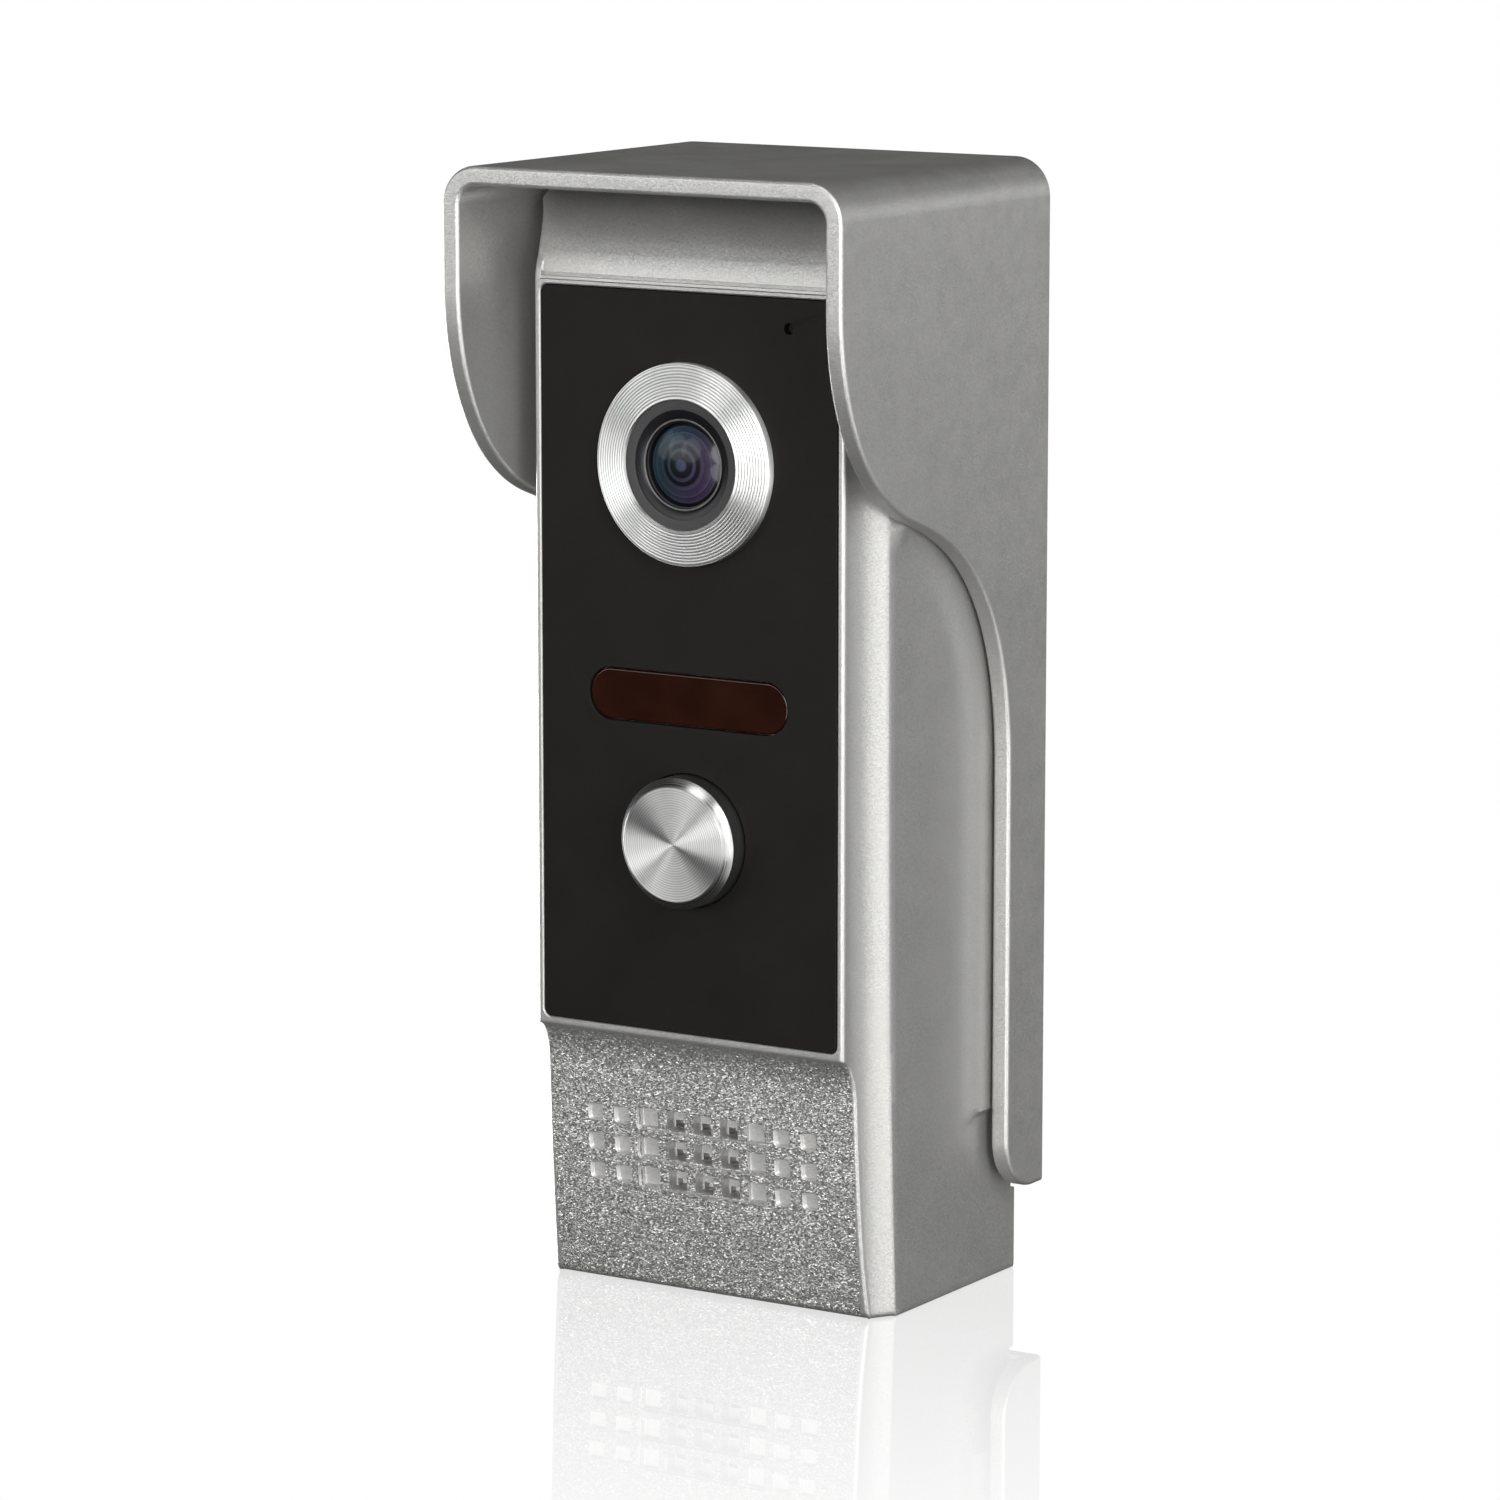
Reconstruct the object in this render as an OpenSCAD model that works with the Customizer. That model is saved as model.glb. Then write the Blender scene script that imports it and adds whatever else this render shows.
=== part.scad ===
// Outdoor station of a wired video door phone: a slim body with a black face
// panel, standing in a U-shaped rain hood that is screwed to the wall.
// Lengths are in millimetres. +Z is up and the unit looks along -Y. The wall
// plane is Y = 0, and the origin is the middle of the two wall screws on it.
// Inside, a place is given as a depth behind the face panel's front, and as a
// height above the panel's lower edge.

/* [Body] */
// Width of the body across its flat sides
body_w = 48; // [47:0.5:48]
// Depth of the unit from the wall to the front of the panel
body_d = 36.8; // [36.6:0.1:38]
// Height of the body below the panel's lower edge
chin_h = 32.7; // [32:0.1:34]
// Height of the body's rounded top above the panel's upper edge
crown_h = 11.5; // [11:0.1:11.6]
// Wall thickness of the body
wall = 2; // [1.6:0.1:2.2]
// Depth of the sloping strip along each front edge
strip_d = 6.4; // [6:0.1:7]
// Thickness of the raised pads on the sides, under the hood's cheeks
pad_t = 0.7; // [0.2:0.1:0.7]
// How far the grille face lies behind the panel's front at its upper end
chin_recess = 2.5; // [2:0.1:3]
// How much further back the grille face lies at the base
chin_slope = 2.2; // [1:0.1:2.5]

/* [Face panel] */
// Width of the black face panel
panel_w = 41; // [40.5:0.1:41.2]
// Height of the black face panel
panel_h = 87.8; // [87:0.1:88.5]
// Thickness of the face panel
panel_t = 1.1; // [1:0.1:1.2]
// Width of the metal-coloured lip around the panel
lip_w = 0.95; // [0.8:0.05:1]
// Radius of the microphone hole
mic_hole_r = 0.65; // [0.5:0.05:0.8]

/* [Rain hood] */
// Width of the hood across its cheeks
hood_w = 54.6; // [54.6:0.1:57]
// Thickness of the hood's roof and cheeks
hood_t = 2.3; // [2:0.1:2.5]
// How far the hood's rim stands in front of the panel
hood_reach = 10.3; // [8:0.1:12]
// Height of the roof above the panel's upper edge
hood_rise = 14.35; // [14.3:0.05:16]
// Outer radius of the hood's upper corners
hood_corner_r = 4.6; // [4:0.1:6]
// Thickness of the hood's back plate
plate_t = 1.8; // [1.6:0.1:1.8]
// Distance between the two wall screws
wall_screw_pitch = 60; // [50:1:60]
// Radius of the wall screw holes
wall_hole_r = 2.1; // [1.8:0.1:2.4]

/* [Camera] */
// Height of the lens above the panel's lower edge
lens_h = 67.8; // [67:0.1:68]
// Outer radius of the turned ring
ring_r = 11.9; // [11.5:0.1:12.2]
// Radius of the opening in the turned ring
ring_bore_r = 7.65; // [7.6:0.05:7.8]
// How far the ring stands in front of the panel
ring_proud = 1.7; // [1.5:0.1:1.8]
// How far its outer edge stands out of the panel
ring_edge = 1.1; // [0.8:0.1:1.3]

/* [Infrared window] */
// Height of the window above the panel's lower edge
ir_h = 39.9; // [39.5:0.1:40.5]
// Length of the window
ir_w = 27.7; // [27:0.1:28]
// Height of the window
ir_t = 6.4; // [6:0.1:6.6]
// Number of infrared lamps on each side of the light sensor
lamps_per_side = 3; // [2:1:3]

/* [Call button] */
// Height of the button above the panel's lower edge
button_h = 23.3; // [23:0.1:24]
// Radius of the button
button_r = 7.8; // [7.6:0.05:7.8]
// How far the button stands in front of the panel
button_proud = 3.3; // [2.4:0.1:3.5]
// Width of the bevel round the button's face
button_bevel = 1; // [0.6:0.1:1.2]

/* [Speaker grille] */
// Number of columns of grille openings
grille_columns = 9; // [7:2:9]
// Number of rows of grille openings
grille_rows = 3; // [2:1:3]
// Spacing of the grille columns
grille_pitch_x = 3.64; // [3.4:0.01:3.7]
// Spacing of the grille rows
grille_pitch_z = 3.42; // [3.2:0.01:3.5]
// Width of the open grille holes
grille_hole = 2.2; // [1.8:0.1:2.4]

/* [Cable inlet] */
// Radius of the cable passage in the grommet
cable_r = 3.5; // [3:0.1:3.6]

/* [Hidden] */
$fn = 64;

gap = 0.1;              // assembly gap between pieces that don't move
slide_gap = 0.05;       // running clearance of the sliding and turning pieces
eps = 0.5;              // overrun of a cut past the face it opens

origin_h = 39.8;        // height of the origin above the panel's lower edge
side_x = body_w / 2;
edge_x = panel_w / 2 + lip_w;
top_h = panel_h + crown_h;
rear_d = body_d - plate_t - gap;    // where the body's walls end behind the hood plate
heel_d = body_d - 1;                // where they end below the hood plate
hood_x = hood_w / 2;
hood_top_h = panel_h + hood_rise;
hood_foot_h = -21.8;    // lower end of the hood's cheeks
tail_d = 28.2;          // depth of the cheeks' narrow lower part
foot_r = 6.5;           // rounding of the cheeks' lower corner
pocket_d = panel_t + 0.3;           // depth of the pocket that holds the panel
skin_d = pocket_d + 1.8;            // inner face of the wall behind the panel
chin_skin_d = 6.2;      // inner face of the wall behind the grille
base_wall = 2.3;        // thickness of the body's base

cover_t = 1.7;          // back cover
cover_d = rear_d - cover_t;
seal_t = 1.1;           // rubber seal under the back cover
ledge_d = cover_d - seal_t;
corner_x = 18.4;        // the four housing screws
corner_low_h = -26.4;
corner_high_h = 92.3;

cable_h = 22;           // cable passage in the back
hook_x = 10;            // the hood's two hooks
hook_h = 84;
hook_t = 1.6;
foot_screw_d = 29;      // security screw in the base
foot_low_h = -chin_h + base_wall + 0.2;
foot_t = 1.8;

board_d = 17;           // main board
board_t = 1.6;
board_w = 39;
board_low_h = 2;
board_high_h = 54;
board_boss_x = 16.5;
board_boss_h = [4.8, 51.2];
camera_board_d = 16.5;
camera_board_t = 1.2;
camera_boss = [11, 9.5];
ir_board_d = 9;
ir_boss_x = 17.3;
ir_pitch = 4;
speaker_h = -15.6;
speaker_r = 13.6;
speaker_d = 7.6;
mic_x = 13.9;
mic_h = 84.3;
grille_h = -14.5;       // height of the grille's middle row
stem_r = 2;
stem_end_d = 12;
bush_back_d = 5.3;      // inner face of the bush's rear wall
bush_t = 1.2;
cap_back_d = 0.6;       // underside of the button's head, where the spring seats
switch_d = 13.6;
volume_x = 11;
volume_h = 38;
pad_lead = 5;           // how far a side pad reaches in front of the cheek over it
pad_low_h = -15;
scoop_low = 7;          // height of the scoop below the panel
lens_hole_r = 9.45;     // openings of the wall behind the panel
button_hole_r = 9;
lens_lead = 0.7;
lead_loop = [16.25, -0.25];         // middle of the speaker leads' loop
lead_loop_r = 6.02;

function y_of(d) = d - body_d;
function z_of(h) = h - origin_h;

// Point at t on a cubic Bezier curve
function bezier(p, t) =
    pow(1 - t, 3) * p[0] + 3 * t * pow(1 - t, 2) * p[1]
    + 3 * t * t * (1 - t) * p[2] + pow(t, 3) * p[3];

// Front edge of a cheek, as [depth, height] from its top down
function cheek_front(shift = 0) = let(
    n = 12,
    upper = [[-hood_reach, 88], [-hood_reach, 76], [-4.5, 65.5], [6.5, 61.9]],
    lower = [[6.5, 61.9], [15.5, 58.9], [tail_d, 53], [tail_d, 30]]
) concat(
    [for (i = [0 : n]) bezier(upper, i / n) - [shift, 0]],
    [for (i = [1 : n]) bezier(lower, i / n) - [shift, 0]]
);

// Arc of points round [cd, ch], as [depth, height]
function arc(cd, ch, r, a0, a1, n = 12) =
    [for (i = [0 : n]) let(a = a0 + (a1 - a0) * i / n) [cd + r * cos(a), ch + r * sin(a)]];

// Solid between two depths, from an outline in X and Z
module slab(d0, d1) {
    translate([0, y_of(d1), 0]) rotate([90, 0, 0]) linear_extrude(d1 - d0) children();
}

// Solid between two X values, from an outline in depth and height
module side_slab(x0, x1) {
    translate([x0, y_of(0), z_of(0)]) rotate([90, 0, 90]) linear_extrude(x1 - x0) children();
}

// Cylinder that runs front to back
module drum(x, h, d0, d1, r) {
    translate([x, y_of(d0), z_of(h)]) rotate([-90, 0, 0]) cylinder(h = d1 - d0, r = r);
}

// Turned piece round a front-to-back axis, from a profile in radius and depth
module turned(x, h) {
    translate([x, y_of(0), z_of(h)]) rotate([-90, 0, 0]) rotate_extrude() children();
}

// Box between two X values, two depths and two heights
module block(x0, x1, d0, d1, h0, h1) {
    translate([x0, y_of(d0), z_of(h0)]) cube([x1 - x0, d1 - d0, h1 - h0]);
}

// Upright rectangle in X and height, with rounded corners
module round_rect(w, h0, h1, r) {
    x = w / 2 - r;
    translate([-w / 2, z_of(h0) + r]) square([w, h1 - h0 - 2 * r]);
    translate([-x, z_of(h0)]) square([2 * x, h1 - h0]);
    for (sx = [-x, x], sz = [z_of(h0) + r, z_of(h1) - r]) translate([sx, sz]) circle(r);
}

// Upright rectangle in X and height
module plain_rect(w, h0, h1) {
    translate([-w / 2, z_of(h0)]) square([w, h1 - h0]);
}

// ---- rain hood ----

// Side view of the hood: everything behind the cheeks' S-shaped front edge
module cheek_outline() {
    polygon(concat(
        [[-hood_reach, hood_top_h + 1]],
        cheek_front(),
        arc(tail_d + foot_r, hood_foot_h + foot_r, foot_r, 180, 270, 8),
        [[body_d, hood_foot_h], [body_d, hood_top_h + 1]]
    ));
}

module hood_section() {
    inner_x = hood_x - hood_t;
    inner_r = hood_corner_r - hood_t;
    difference() {
        union() {
            round_rect(hood_w, 0, hood_top_h, hood_corner_r);
            plain_rect(hood_w, hood_foot_h, hood_corner_r + 1);
        }
        round_rect(2 * inner_x, 0, hood_top_h - hood_t, inner_r);
        plain_rect(2 * inner_x, hood_foot_h - 1, inner_r + 1);
    }
}

module hood_hook(x) {
    block(x - 2.4, x + 2.4, rear_d - 3.2, rear_d + gap + 0.1, hook_h, hook_h + hook_t);
    block(x - 2.4, x + 2.4, rear_d - 3.2, rear_d - 2, hook_h, hook_h + 4);
}

module rain_hood() color([0.56, 0.57, 0.58]) {
    plate_d = body_d - plate_t;
    difference() {
        union() {
            intersection() {
                slab(-hood_reach, body_d) hood_section();
                side_slab(-hood_x, hood_x) cheek_outline();
            }
            slab(plate_d, body_d)
                plain_rect(2 * (hood_x - hood_t) + 0.4, hood_foot_h, hood_top_h - hood_t + 0.2);
            // tongue and foot that the security screw holds
            block(-6, 6, plate_d, body_d, foot_low_h, hood_foot_h + eps);
            block(-6, 6, foot_screw_d - 3.5, body_d, foot_low_h, foot_low_h + foot_t);
            for (x = [-hook_x, hook_x]) hood_hook(x);
        }
        for (s = [-1, 1]) translate([0, 0, s * wall_screw_pitch / 2]) {
            drum(0, origin_h, plate_d - eps, body_d + eps, wall_hole_r);
            translate([0, y_of(plate_d - 0.01), 0]) rotate([-90, 0, 0])
                cylinder(h = 0.8, r1 = wall_hole_r + 1.6, r2 = wall_hole_r);
        }
        drum(0, cable_h, plate_d - eps, body_d + eps, 8);
        translate([0, y_of(foot_screw_d), z_of(foot_low_h - eps)]) cylinder(h = foot_t + 1, r = 1.25);
    }
}

// ---- body ----

// Plan view of the body, as right-hand [x, depth] points mirrored to both sides
module plan(points) {
    n = len(points);
    polygon(concat(points, [for (i = [n - 1 : -1 : 0]) [-points[i][0], points[i][1]]]));
}

// Side view of the body's outside
module body_side() {
    slope_h = chin_h - scoop_low;
    polygon(concat(
        [[heel_d, -chin_h], [chin_recess + chin_slope + 0.7, -chin_h]],
        // grille face, leaning back towards the base
        [for (i = [8 : -1 : 0]) let(t = i / 8)
            [chin_recess + chin_slope * (0.6 * t + 0.4 * t * t * t), -scoop_low - slope_h * t * 0.985]],
        // scoop up to the lip
        [for (i = [1 : 8]) let(a = 90 * i / 8)
            [chin_recess * cos(a), -scoop_low + (scoop_low - lip_w - 0.4) * sin(a)]],
        [[0, -lip_w]],
        [[0, panel_h + lip_w], [0.6, panel_h + lip_w], [0.6, panel_h + lip_w + 0.5]],
        arc(crown_h + 0.3, panel_h, crown_h, 173, 90, 12),
        [[rear_d, top_h], [rear_d, hood_foot_h - 0.9], [heel_d, hood_foot_h - 0.9]]
    ));
}

// Side view of the body's hollow
module hollow_side() {
    r = crown_h - 2.2;
    polygon(concat(
        [[chin_skin_d, -chin_h + base_wall], [chin_skin_d, -2], [skin_d, 1.5]],
        arc(r + skin_d, top_h - wall - r, r, 180, 90, 10),
        [[body_d + 1, top_h - wall], [body_d + 1, -chin_h + base_wall]]
    ));
}

module upright(h0, h1) {
    translate([0, y_of(0), z_of(h0)]) linear_extrude(h1 - h0) children();
}

// One boss on the wall behind the panel, with its screw hole from the rear
module boss(x, h, d0, d1, r, hole_r, hole_l) {
    difference() {
        drum(x, h, d0, d1, r);
        drum(x, h, d1 - hole_l, d1 + eps, hole_r);
    }
}

// Grille openings of the chin: dimples at the ends, holes in the middle
module grille_cuts() {
    half = (grille_columns - 1) / 2;
    for (c = [-half : half], r = [0 : grille_rows - 1]) {
        h = grille_h + ((grille_rows - 1) / 2 - r) * grille_pitch_z;
        through = abs(c) <= 1;
        w = grille_hole / 2;
        block(c * grille_pitch_x - w, c * grille_pitch_x + w,
            0, through ? chin_skin_d + 1 : chin_recess + 1.5, h - w, h + w);
    }
}

// Raised pads on both sides, whose front edge follows the hood's cheeks
module side_pads() {
    r = 4;
    intersection() {
        difference() {
            side_slab(-side_x - pad_t, side_x + pad_t) polygon(concat(
                cheek_front(pad_lead),
                arc(tail_d - pad_lead + r, pad_low_h + r, r, 180, 270, 6),
                [[ledge_d, pad_low_h], [ledge_d, panel_h]]
            ));
            slab(-hood_reach, body_d) plain_rect(body_w - wall, -chin_h, top_h);
        }
        slab(strip_d + 1, ledge_d) plain_rect(body_w + 2, -chin_h, top_h);
    }
}

module front_housing() color([0.60, 0.60, 0.61]) {
    difference() {
        union() {
            difference() {
                intersection() {
                    upright(-chin_h, top_h) plan([
                        [edge_x, -1], [edge_x, 0.6], [edge_x + 0.5, 2.6],
                        [side_x, strip_d], [side_x, heel_d]
                    ]);
                    side_slab(-side_x, side_x) body_side();
                }
                intersection() {
                    upright(-chin_h, top_h) plan([
                        [side_x - 4.4, 0], [side_x - 4.4, skin_d],
                        [side_x - wall, strip_d + 1.2], [side_x - wall, body_d + 1]
                    ]);
                    side_slab(-side_x, side_x) hollow_side();
                }
            }
            side_pads();
            // ledge that the seal and the back cover sit on
            slab(ledge_d - 1.5, ledge_d) difference() {
                plain_rect(body_w - wall, -chin_h + 1, top_h - 1);
                plain_rect(body_w - 2 * wall - 3, -chin_h + base_wall + 1.6, top_h - wall - 1.5);
            }
            for (x = [-corner_x, corner_x]) {
                boss(x, corner_low_h, 5.5, ledge_d, 3, 1.25, 11);
                boss(x, corner_high_h, 5, ledge_d, 3, 1.25, 11);
                for (h = board_boss_h) boss(x > 0 ? board_boss_x : -board_boss_x, h,
                    skin_d - 0.5, board_d - gap, 2.4, 1.05, 8);
                boss(x > 0 ? ir_boss_x : -ir_boss_x, ir_h,
                    skin_d - 0.5, ir_board_d - gap, 1.8, 0.85, 4.5);
            }
            for (s = [-1, 1]) boss(s * camera_boss[0], lens_h + s * camera_boss[1],
                skin_d - 0.5, camera_board_d - gap, 2.2, 1.05, 8);
        }
        // pocket of the face panel, and the openings behind it
        slab(-1, pocket_d) round_rect(panel_w + gap, -gap / 2, panel_h + gap / 2, 1);
        drum(0, lens_h, 0, skin_d + eps, lens_hole_r);
        drum(0, button_h, 0, skin_d + eps, button_hole_r);
        drum(mic_x, mic_h, 0, skin_d + eps, 1.2);
        slab(0, skin_d + eps) pill(ir_w - 0.1, ir_t - 0.1);
        grille_cuts();
        // security screw, sunk into the base
        translate([0, y_of(foot_screw_d), z_of(-chin_h) - eps]) cylinder(h = 1.3 + eps, r = 3);
        translate([0, y_of(foot_screw_d), z_of(-chin_h)]) cylinder(h = 4, r = 1.6);
        // way in for the hood's foot
        block(-6.6, 6.6, ledge_d - 2, body_d, foot_low_h - 0.1, foot_low_h + foot_t + 0.7);
    }
}

// Outline with round ends, centred on the infrared window
module pill(w, t) {
    round_rect(w, ir_h - t / 2, ir_h + t / 2, t / 2 - 0.001);
}

module back_cover() color([0.16, 0.16, 0.17]) {
    difference() {
        slab(cover_d, rear_d) round_rect(body_w - 2 * wall - 0.2,
            -chin_h + base_wall + gap, top_h - wall - gap, 1.5);
        drum(0, cable_h, cover_d - 1, rear_d + 1, 6);
        for (x = [-hook_x, hook_x])
            block(x - 2.8, x + 2.8, cover_d - 1, rear_d + 1, hook_h - 2.6, hook_h + hook_t + gap);
        for (x = [-corner_x, corner_x], h = [corner_low_h, corner_high_h]) {
            drum(x, h, cover_d - 1, rear_d + 1, 1.4);
            drum(x, h, rear_d - 0.9, rear_d + 1, 2.5);
        }
        block(-6.6, 6.6, cover_d - 1, rear_d + 1, -chin_h, foot_low_h + foot_t + 0.4);
        // room for the heads of the wall screws
        for (s = [-1, 1])
            drum(0, origin_h + s * wall_screw_pitch / 2, rear_d - 1, rear_d + 1, 5);
    }
}

module housing_seal() color([0.08, 0.08, 0.08]) {
    difference() {
        slab(ledge_d + gap / 2, cover_d - gap / 2) difference() {
            plain_rect(body_w - 2 * wall - 0.2, -chin_h + base_wall + gap, top_h - wall - gap);
            plain_rect(body_w - 2 * wall - 2.8, -chin_h + base_wall + 1.5, top_h - wall - 1.4);
        }
        block(-6.6, 6.6, ledge_d - 1, cover_d + 1, -chin_h, foot_low_h + foot_t + 0.4);
        for (x = [-corner_x, corner_x], h = [corner_low_h, corner_high_h])
            drum(x, h, ledge_d - 1, cover_d + 1, 1.4);
    }
}

// ---- face panel ----

module front_panel() color([0.03, 0.03, 0.03]) {
    difference() {
        slab(0, panel_t) round_rect(panel_w - gap, gap / 2, panel_h - gap / 2, 0.9);
        drum(0, lens_h, -1, panel_t + 1, lens_hole_r);
        drum(0, button_h, -1, panel_t + 1, button_r + 0.2);
        drum(mic_x, mic_h, -1, panel_t + 1, mic_hole_r);
        slab(-1, panel_t + 1) pill(ir_w, ir_t);
    }
}

module panel_adhesive() color([0.75, 0.72, 0.6]) {
    difference() {
        slab(panel_t + 0.02, pocket_d - 0.02) round_rect(panel_w - 1.6, 0.8, panel_h - 0.8, 0.9);
        drum(0, lens_h, -1, pocket_d + 1, 10.5);
        drum(0, button_h, -1, pocket_d + 1, 10);
        drum(mic_x, mic_h, -1, pocket_d + 1, 2);
        slab(-1, pocket_d + 1) pill(ir_w + 2, ir_t + 2);
    }
}

// ---- camera ----

module camera_ring() color([0.78, 0.78, 0.78]) {
    turned(0, lens_h) polygon([
        [ring_bore_r, -ring_proud], [ring_r - 0.15, -ring_edge],
        [ring_r, -ring_edge + 0.15], [ring_r, -0.02], [9.35, -0.02], [9.35, 3], [8.5, 3],
        [8.5, 1.6], [ring_bore_r, 1.6]
    ]);
}

module lens_bezel() color([0.30, 0.30, 0.30]) {
    turned(0, lens_h) polygon([
        [ring_bore_r - 0.05, -lens_lead - 0.75], [6.75, -lens_lead - 0.3], [6.75, 3.4], [8.4, 3.4],
        [8.4, 1.65], [ring_bore_r - 0.05, 1.65]
    ]);
}

module lens_barrel() color([0.04, 0.04, 0.045]) {
    turned(0, lens_h) polygon([
        [5.6, -lens_lead - 0.35], [6.7, -lens_lead - 0.35], [6.7, 5], [6, 5], [6, 13], [4.9, 13], [4.9, 10.2],
        [3.4, 10.2], [3.4, 4], [4.9, 4], [4.9, 0.2 - lens_lead]
    ]);
}

module lens_front_glass() color([0.25, 0.25, 0.45, 0.5]) {
    cap_r = 11;
    reach = sqrt(cap_r * cap_r - 4.85 * 4.85);
    turned(0, lens_h) intersection() {
        translate([0, cap_r - 0.65 - lens_lead]) circle(cap_r);
        translate([0, -1 - lens_lead]) square([4.85, 4.9 + lens_lead]);
        translate([0, -reach + 1]) square([4.85, cap_r + 8]);
    }
}

module lens_rear_glass() color([0.25, 0.25, 0.45, 0.5]) {
    turned(0, lens_h) square_at(0, 4.85, 10.3, 12.9);
}

// Rectangle in radius and depth
module square_at(r0, r1, d0, d1) {
    translate([r0, d0]) square([r1 - r0, d1 - d0]);
}

module lens_holder() color([0.06, 0.06, 0.06]) {
    difference() {
        block(-7.5, 7.5, 8, camera_board_d - gap, lens_h - 7.5, lens_h + 7.5);
        drum(0, lens_h, 7, 13.6, 6 + slide_gap);
        block(-5.5, 5.5, 13.5, camera_board_d + 1, lens_h - 5.5, lens_h + 5.5);
    }
}

module image_sensor() color([0.12, 0.16, 0.2]) {
    block(-4.5, 4.5, 14.6, camera_board_d - 0.05, lens_h - 4.5, lens_h + 4.5);
}

module camera_board() color([0.05, 0.32, 0.14]) {
    difference() {
        block(-13.5, 13.5, camera_board_d, camera_board_d + camera_board_t, lens_h - 12, lens_h + 12);
        for (s = [-1, 1]) drum(s * camera_boss[0], lens_h + s * camera_boss[1],
            camera_board_d - 1, camera_board_d + 3, 1.2);
    }
    // ribbon socket
    block(-5, 5, camera_board_d + camera_board_t - 0.01, camera_board_d + 2.4, 57, 59);
}

// ---- infrared lighting ----

module infrared_window() color([0.20, 0.03, 0.02]) {
    slab(0.25, skin_d + 0.1) pill(ir_w - 0.3, ir_t - 0.3);
    slab(skin_d + 0.05, skin_d + 1) pill(ir_w + 1.4, ir_t + 1.4);
}

module infrared_board() color([0.05, 0.32, 0.14]) {
    difference() {
        block(-19.4, 19.4, ir_board_d, ir_board_d + 1.2, ir_h - 4.5, ir_h + 4.5);
        for (x = [-ir_boss_x, ir_boss_x]) drum(x, ir_h, ir_board_d - 1, ir_board_d + 2, 1);
    }
}

module infrared_lamps() color([0.15, 0.12, 0.2]) {
    for (s = [-1, 1], i = [1 : lamps_per_side]) translate([s * i * ir_pitch, 0, 0]) {
        drum(0, ir_h, 6, ir_board_d - 0.05, 1.5);
        translate([0, y_of(6), z_of(ir_h)]) sphere(1.5);
        drum(0, ir_h, ir_board_d - 0.8, ir_board_d - 0.05, 1.8);
    }
}

module light_sensor() color([0.75, 0.35, 0.2]) {
    drum(0, ir_h, 6.5, ir_board_d - 0.05, 1.9);
}

// ---- call button ----

module button_cap() color([0.72, 0.72, 0.71]) {
    face_d = -button_proud;
    turned(0, button_h) polygon([
        [0, face_d], [button_r - button_bevel, face_d], [button_r, face_d + button_bevel],
        [button_r, 2.6], [6.2, 2.6], [6.2, cap_back_d], [stem_r, cap_back_d],
        [stem_r, bush_back_d + bush_t + 0.05], [1.5, bush_back_d + bush_t + 0.05],
        [1.5, bush_back_d + bush_t + 0.75], [stem_r, bush_back_d + bush_t + 0.75],
        [stem_r, stem_end_d], [0, stem_end_d]
    ]);
}

module button_bush() color([0.07, 0.07, 0.07]) {
    bore = button_r + slide_gap;
    back = bush_back_d + bush_t;
    turned(0, button_h) polygon([
        [bore, pocket_d], [8.95, pocket_d], [8.95, skin_d + 0.05], [10.6, skin_d + 0.05],
        [10.6, 4.4], [8.95, 4.4], [8.95, back], [stem_r + slide_gap, back],
        [stem_r + slide_gap, bush_back_d], [bore, bush_back_d]
    ]);
}

// Helical spring between the button's head and the bush's rear wall
module button_spring() color([0.7, 0.7, 0.72]) {
    wire_r = 0.35;
    coil_r = 3.9;
    turns = 3.5;
    start = cap_back_d + wire_r + 0.05;
    rise = bush_back_d - cap_back_d - 2 * wire_r - 0.1;
    rings = 49;
    sides = 8;
    points = [for (i = [0 : rings - 1], k = [0 : sides - 1]) let(
        a = 360 * turns * i / (rings - 1),
        b = 360 * k / sides,
        r = coil_r + wire_r * cos(b)
    ) [r * cos(a), y_of(start + rise * i / (rings - 1) + wire_r * sin(b)),
        z_of(button_h) + r * sin(a)]];
    walls = [for (i = [0 : rings - 2], k = [0 : sides - 1]) let(m = (k + 1) % sides)
        [i * sides + k, i * sides + m, (i + 1) * sides + m, (i + 1) * sides + k]];
    ends = [[for (k = [sides - 1 : -1 : 0]) k],
        [for (k = [0 : sides - 1]) (rings - 1) * sides + k]];
    polyhedron(points, concat(walls, ends));
}

module button_clip() color([0.5, 0.5, 0.52]) {
    d0 = bush_back_d + bush_t + 0.1;
    difference() {
        drum(0, button_h, d0, d0 + 0.6, 4);
        drum(0, button_h, d0 - 1, d0 + 2, 1.55);
        block(-1.3, 1.3, d0 - 1, d0 + 2, button_h - 5, button_h);
    }
}

module switch_body() color([0.1, 0.1, 0.1]) {
    difference() {
        block(-3.1, 3.1, switch_d, board_d - 0.05, button_h - 3.1, button_h + 3.1);
        drum(0, button_h, switch_d - 1, 15.4, 1.7 + slide_gap);
    }
}

module switch_plunger() color([0.85, 0.83, 0.78]) {
    drum(0, button_h, stem_end_d + 0.1, 14.2, 1.7);
}

// ---- sound ----

module microphone() color([0.7, 0.7, 0.7]) {
    drum(mic_x, mic_h, 4.4, 7.1, 2.95);
}

module microphone_boot() color([0.05, 0.05, 0.05]) {
    turned(mic_x, mic_h) polygon([
        [0.8, skin_d + 0.05], [3.6, skin_d + 0.05], [3.6, 7.1], [3, 7.1], [3, 4.3], [0.8, 4.3]
    ]);
}

module speaker_cloth() color([0.82, 0.82, 0.8]) {
    block(-8, 8, chin_skin_d + 0.05, chin_skin_d + 0.3, grille_h - 7, grille_h + 7);
}

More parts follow.
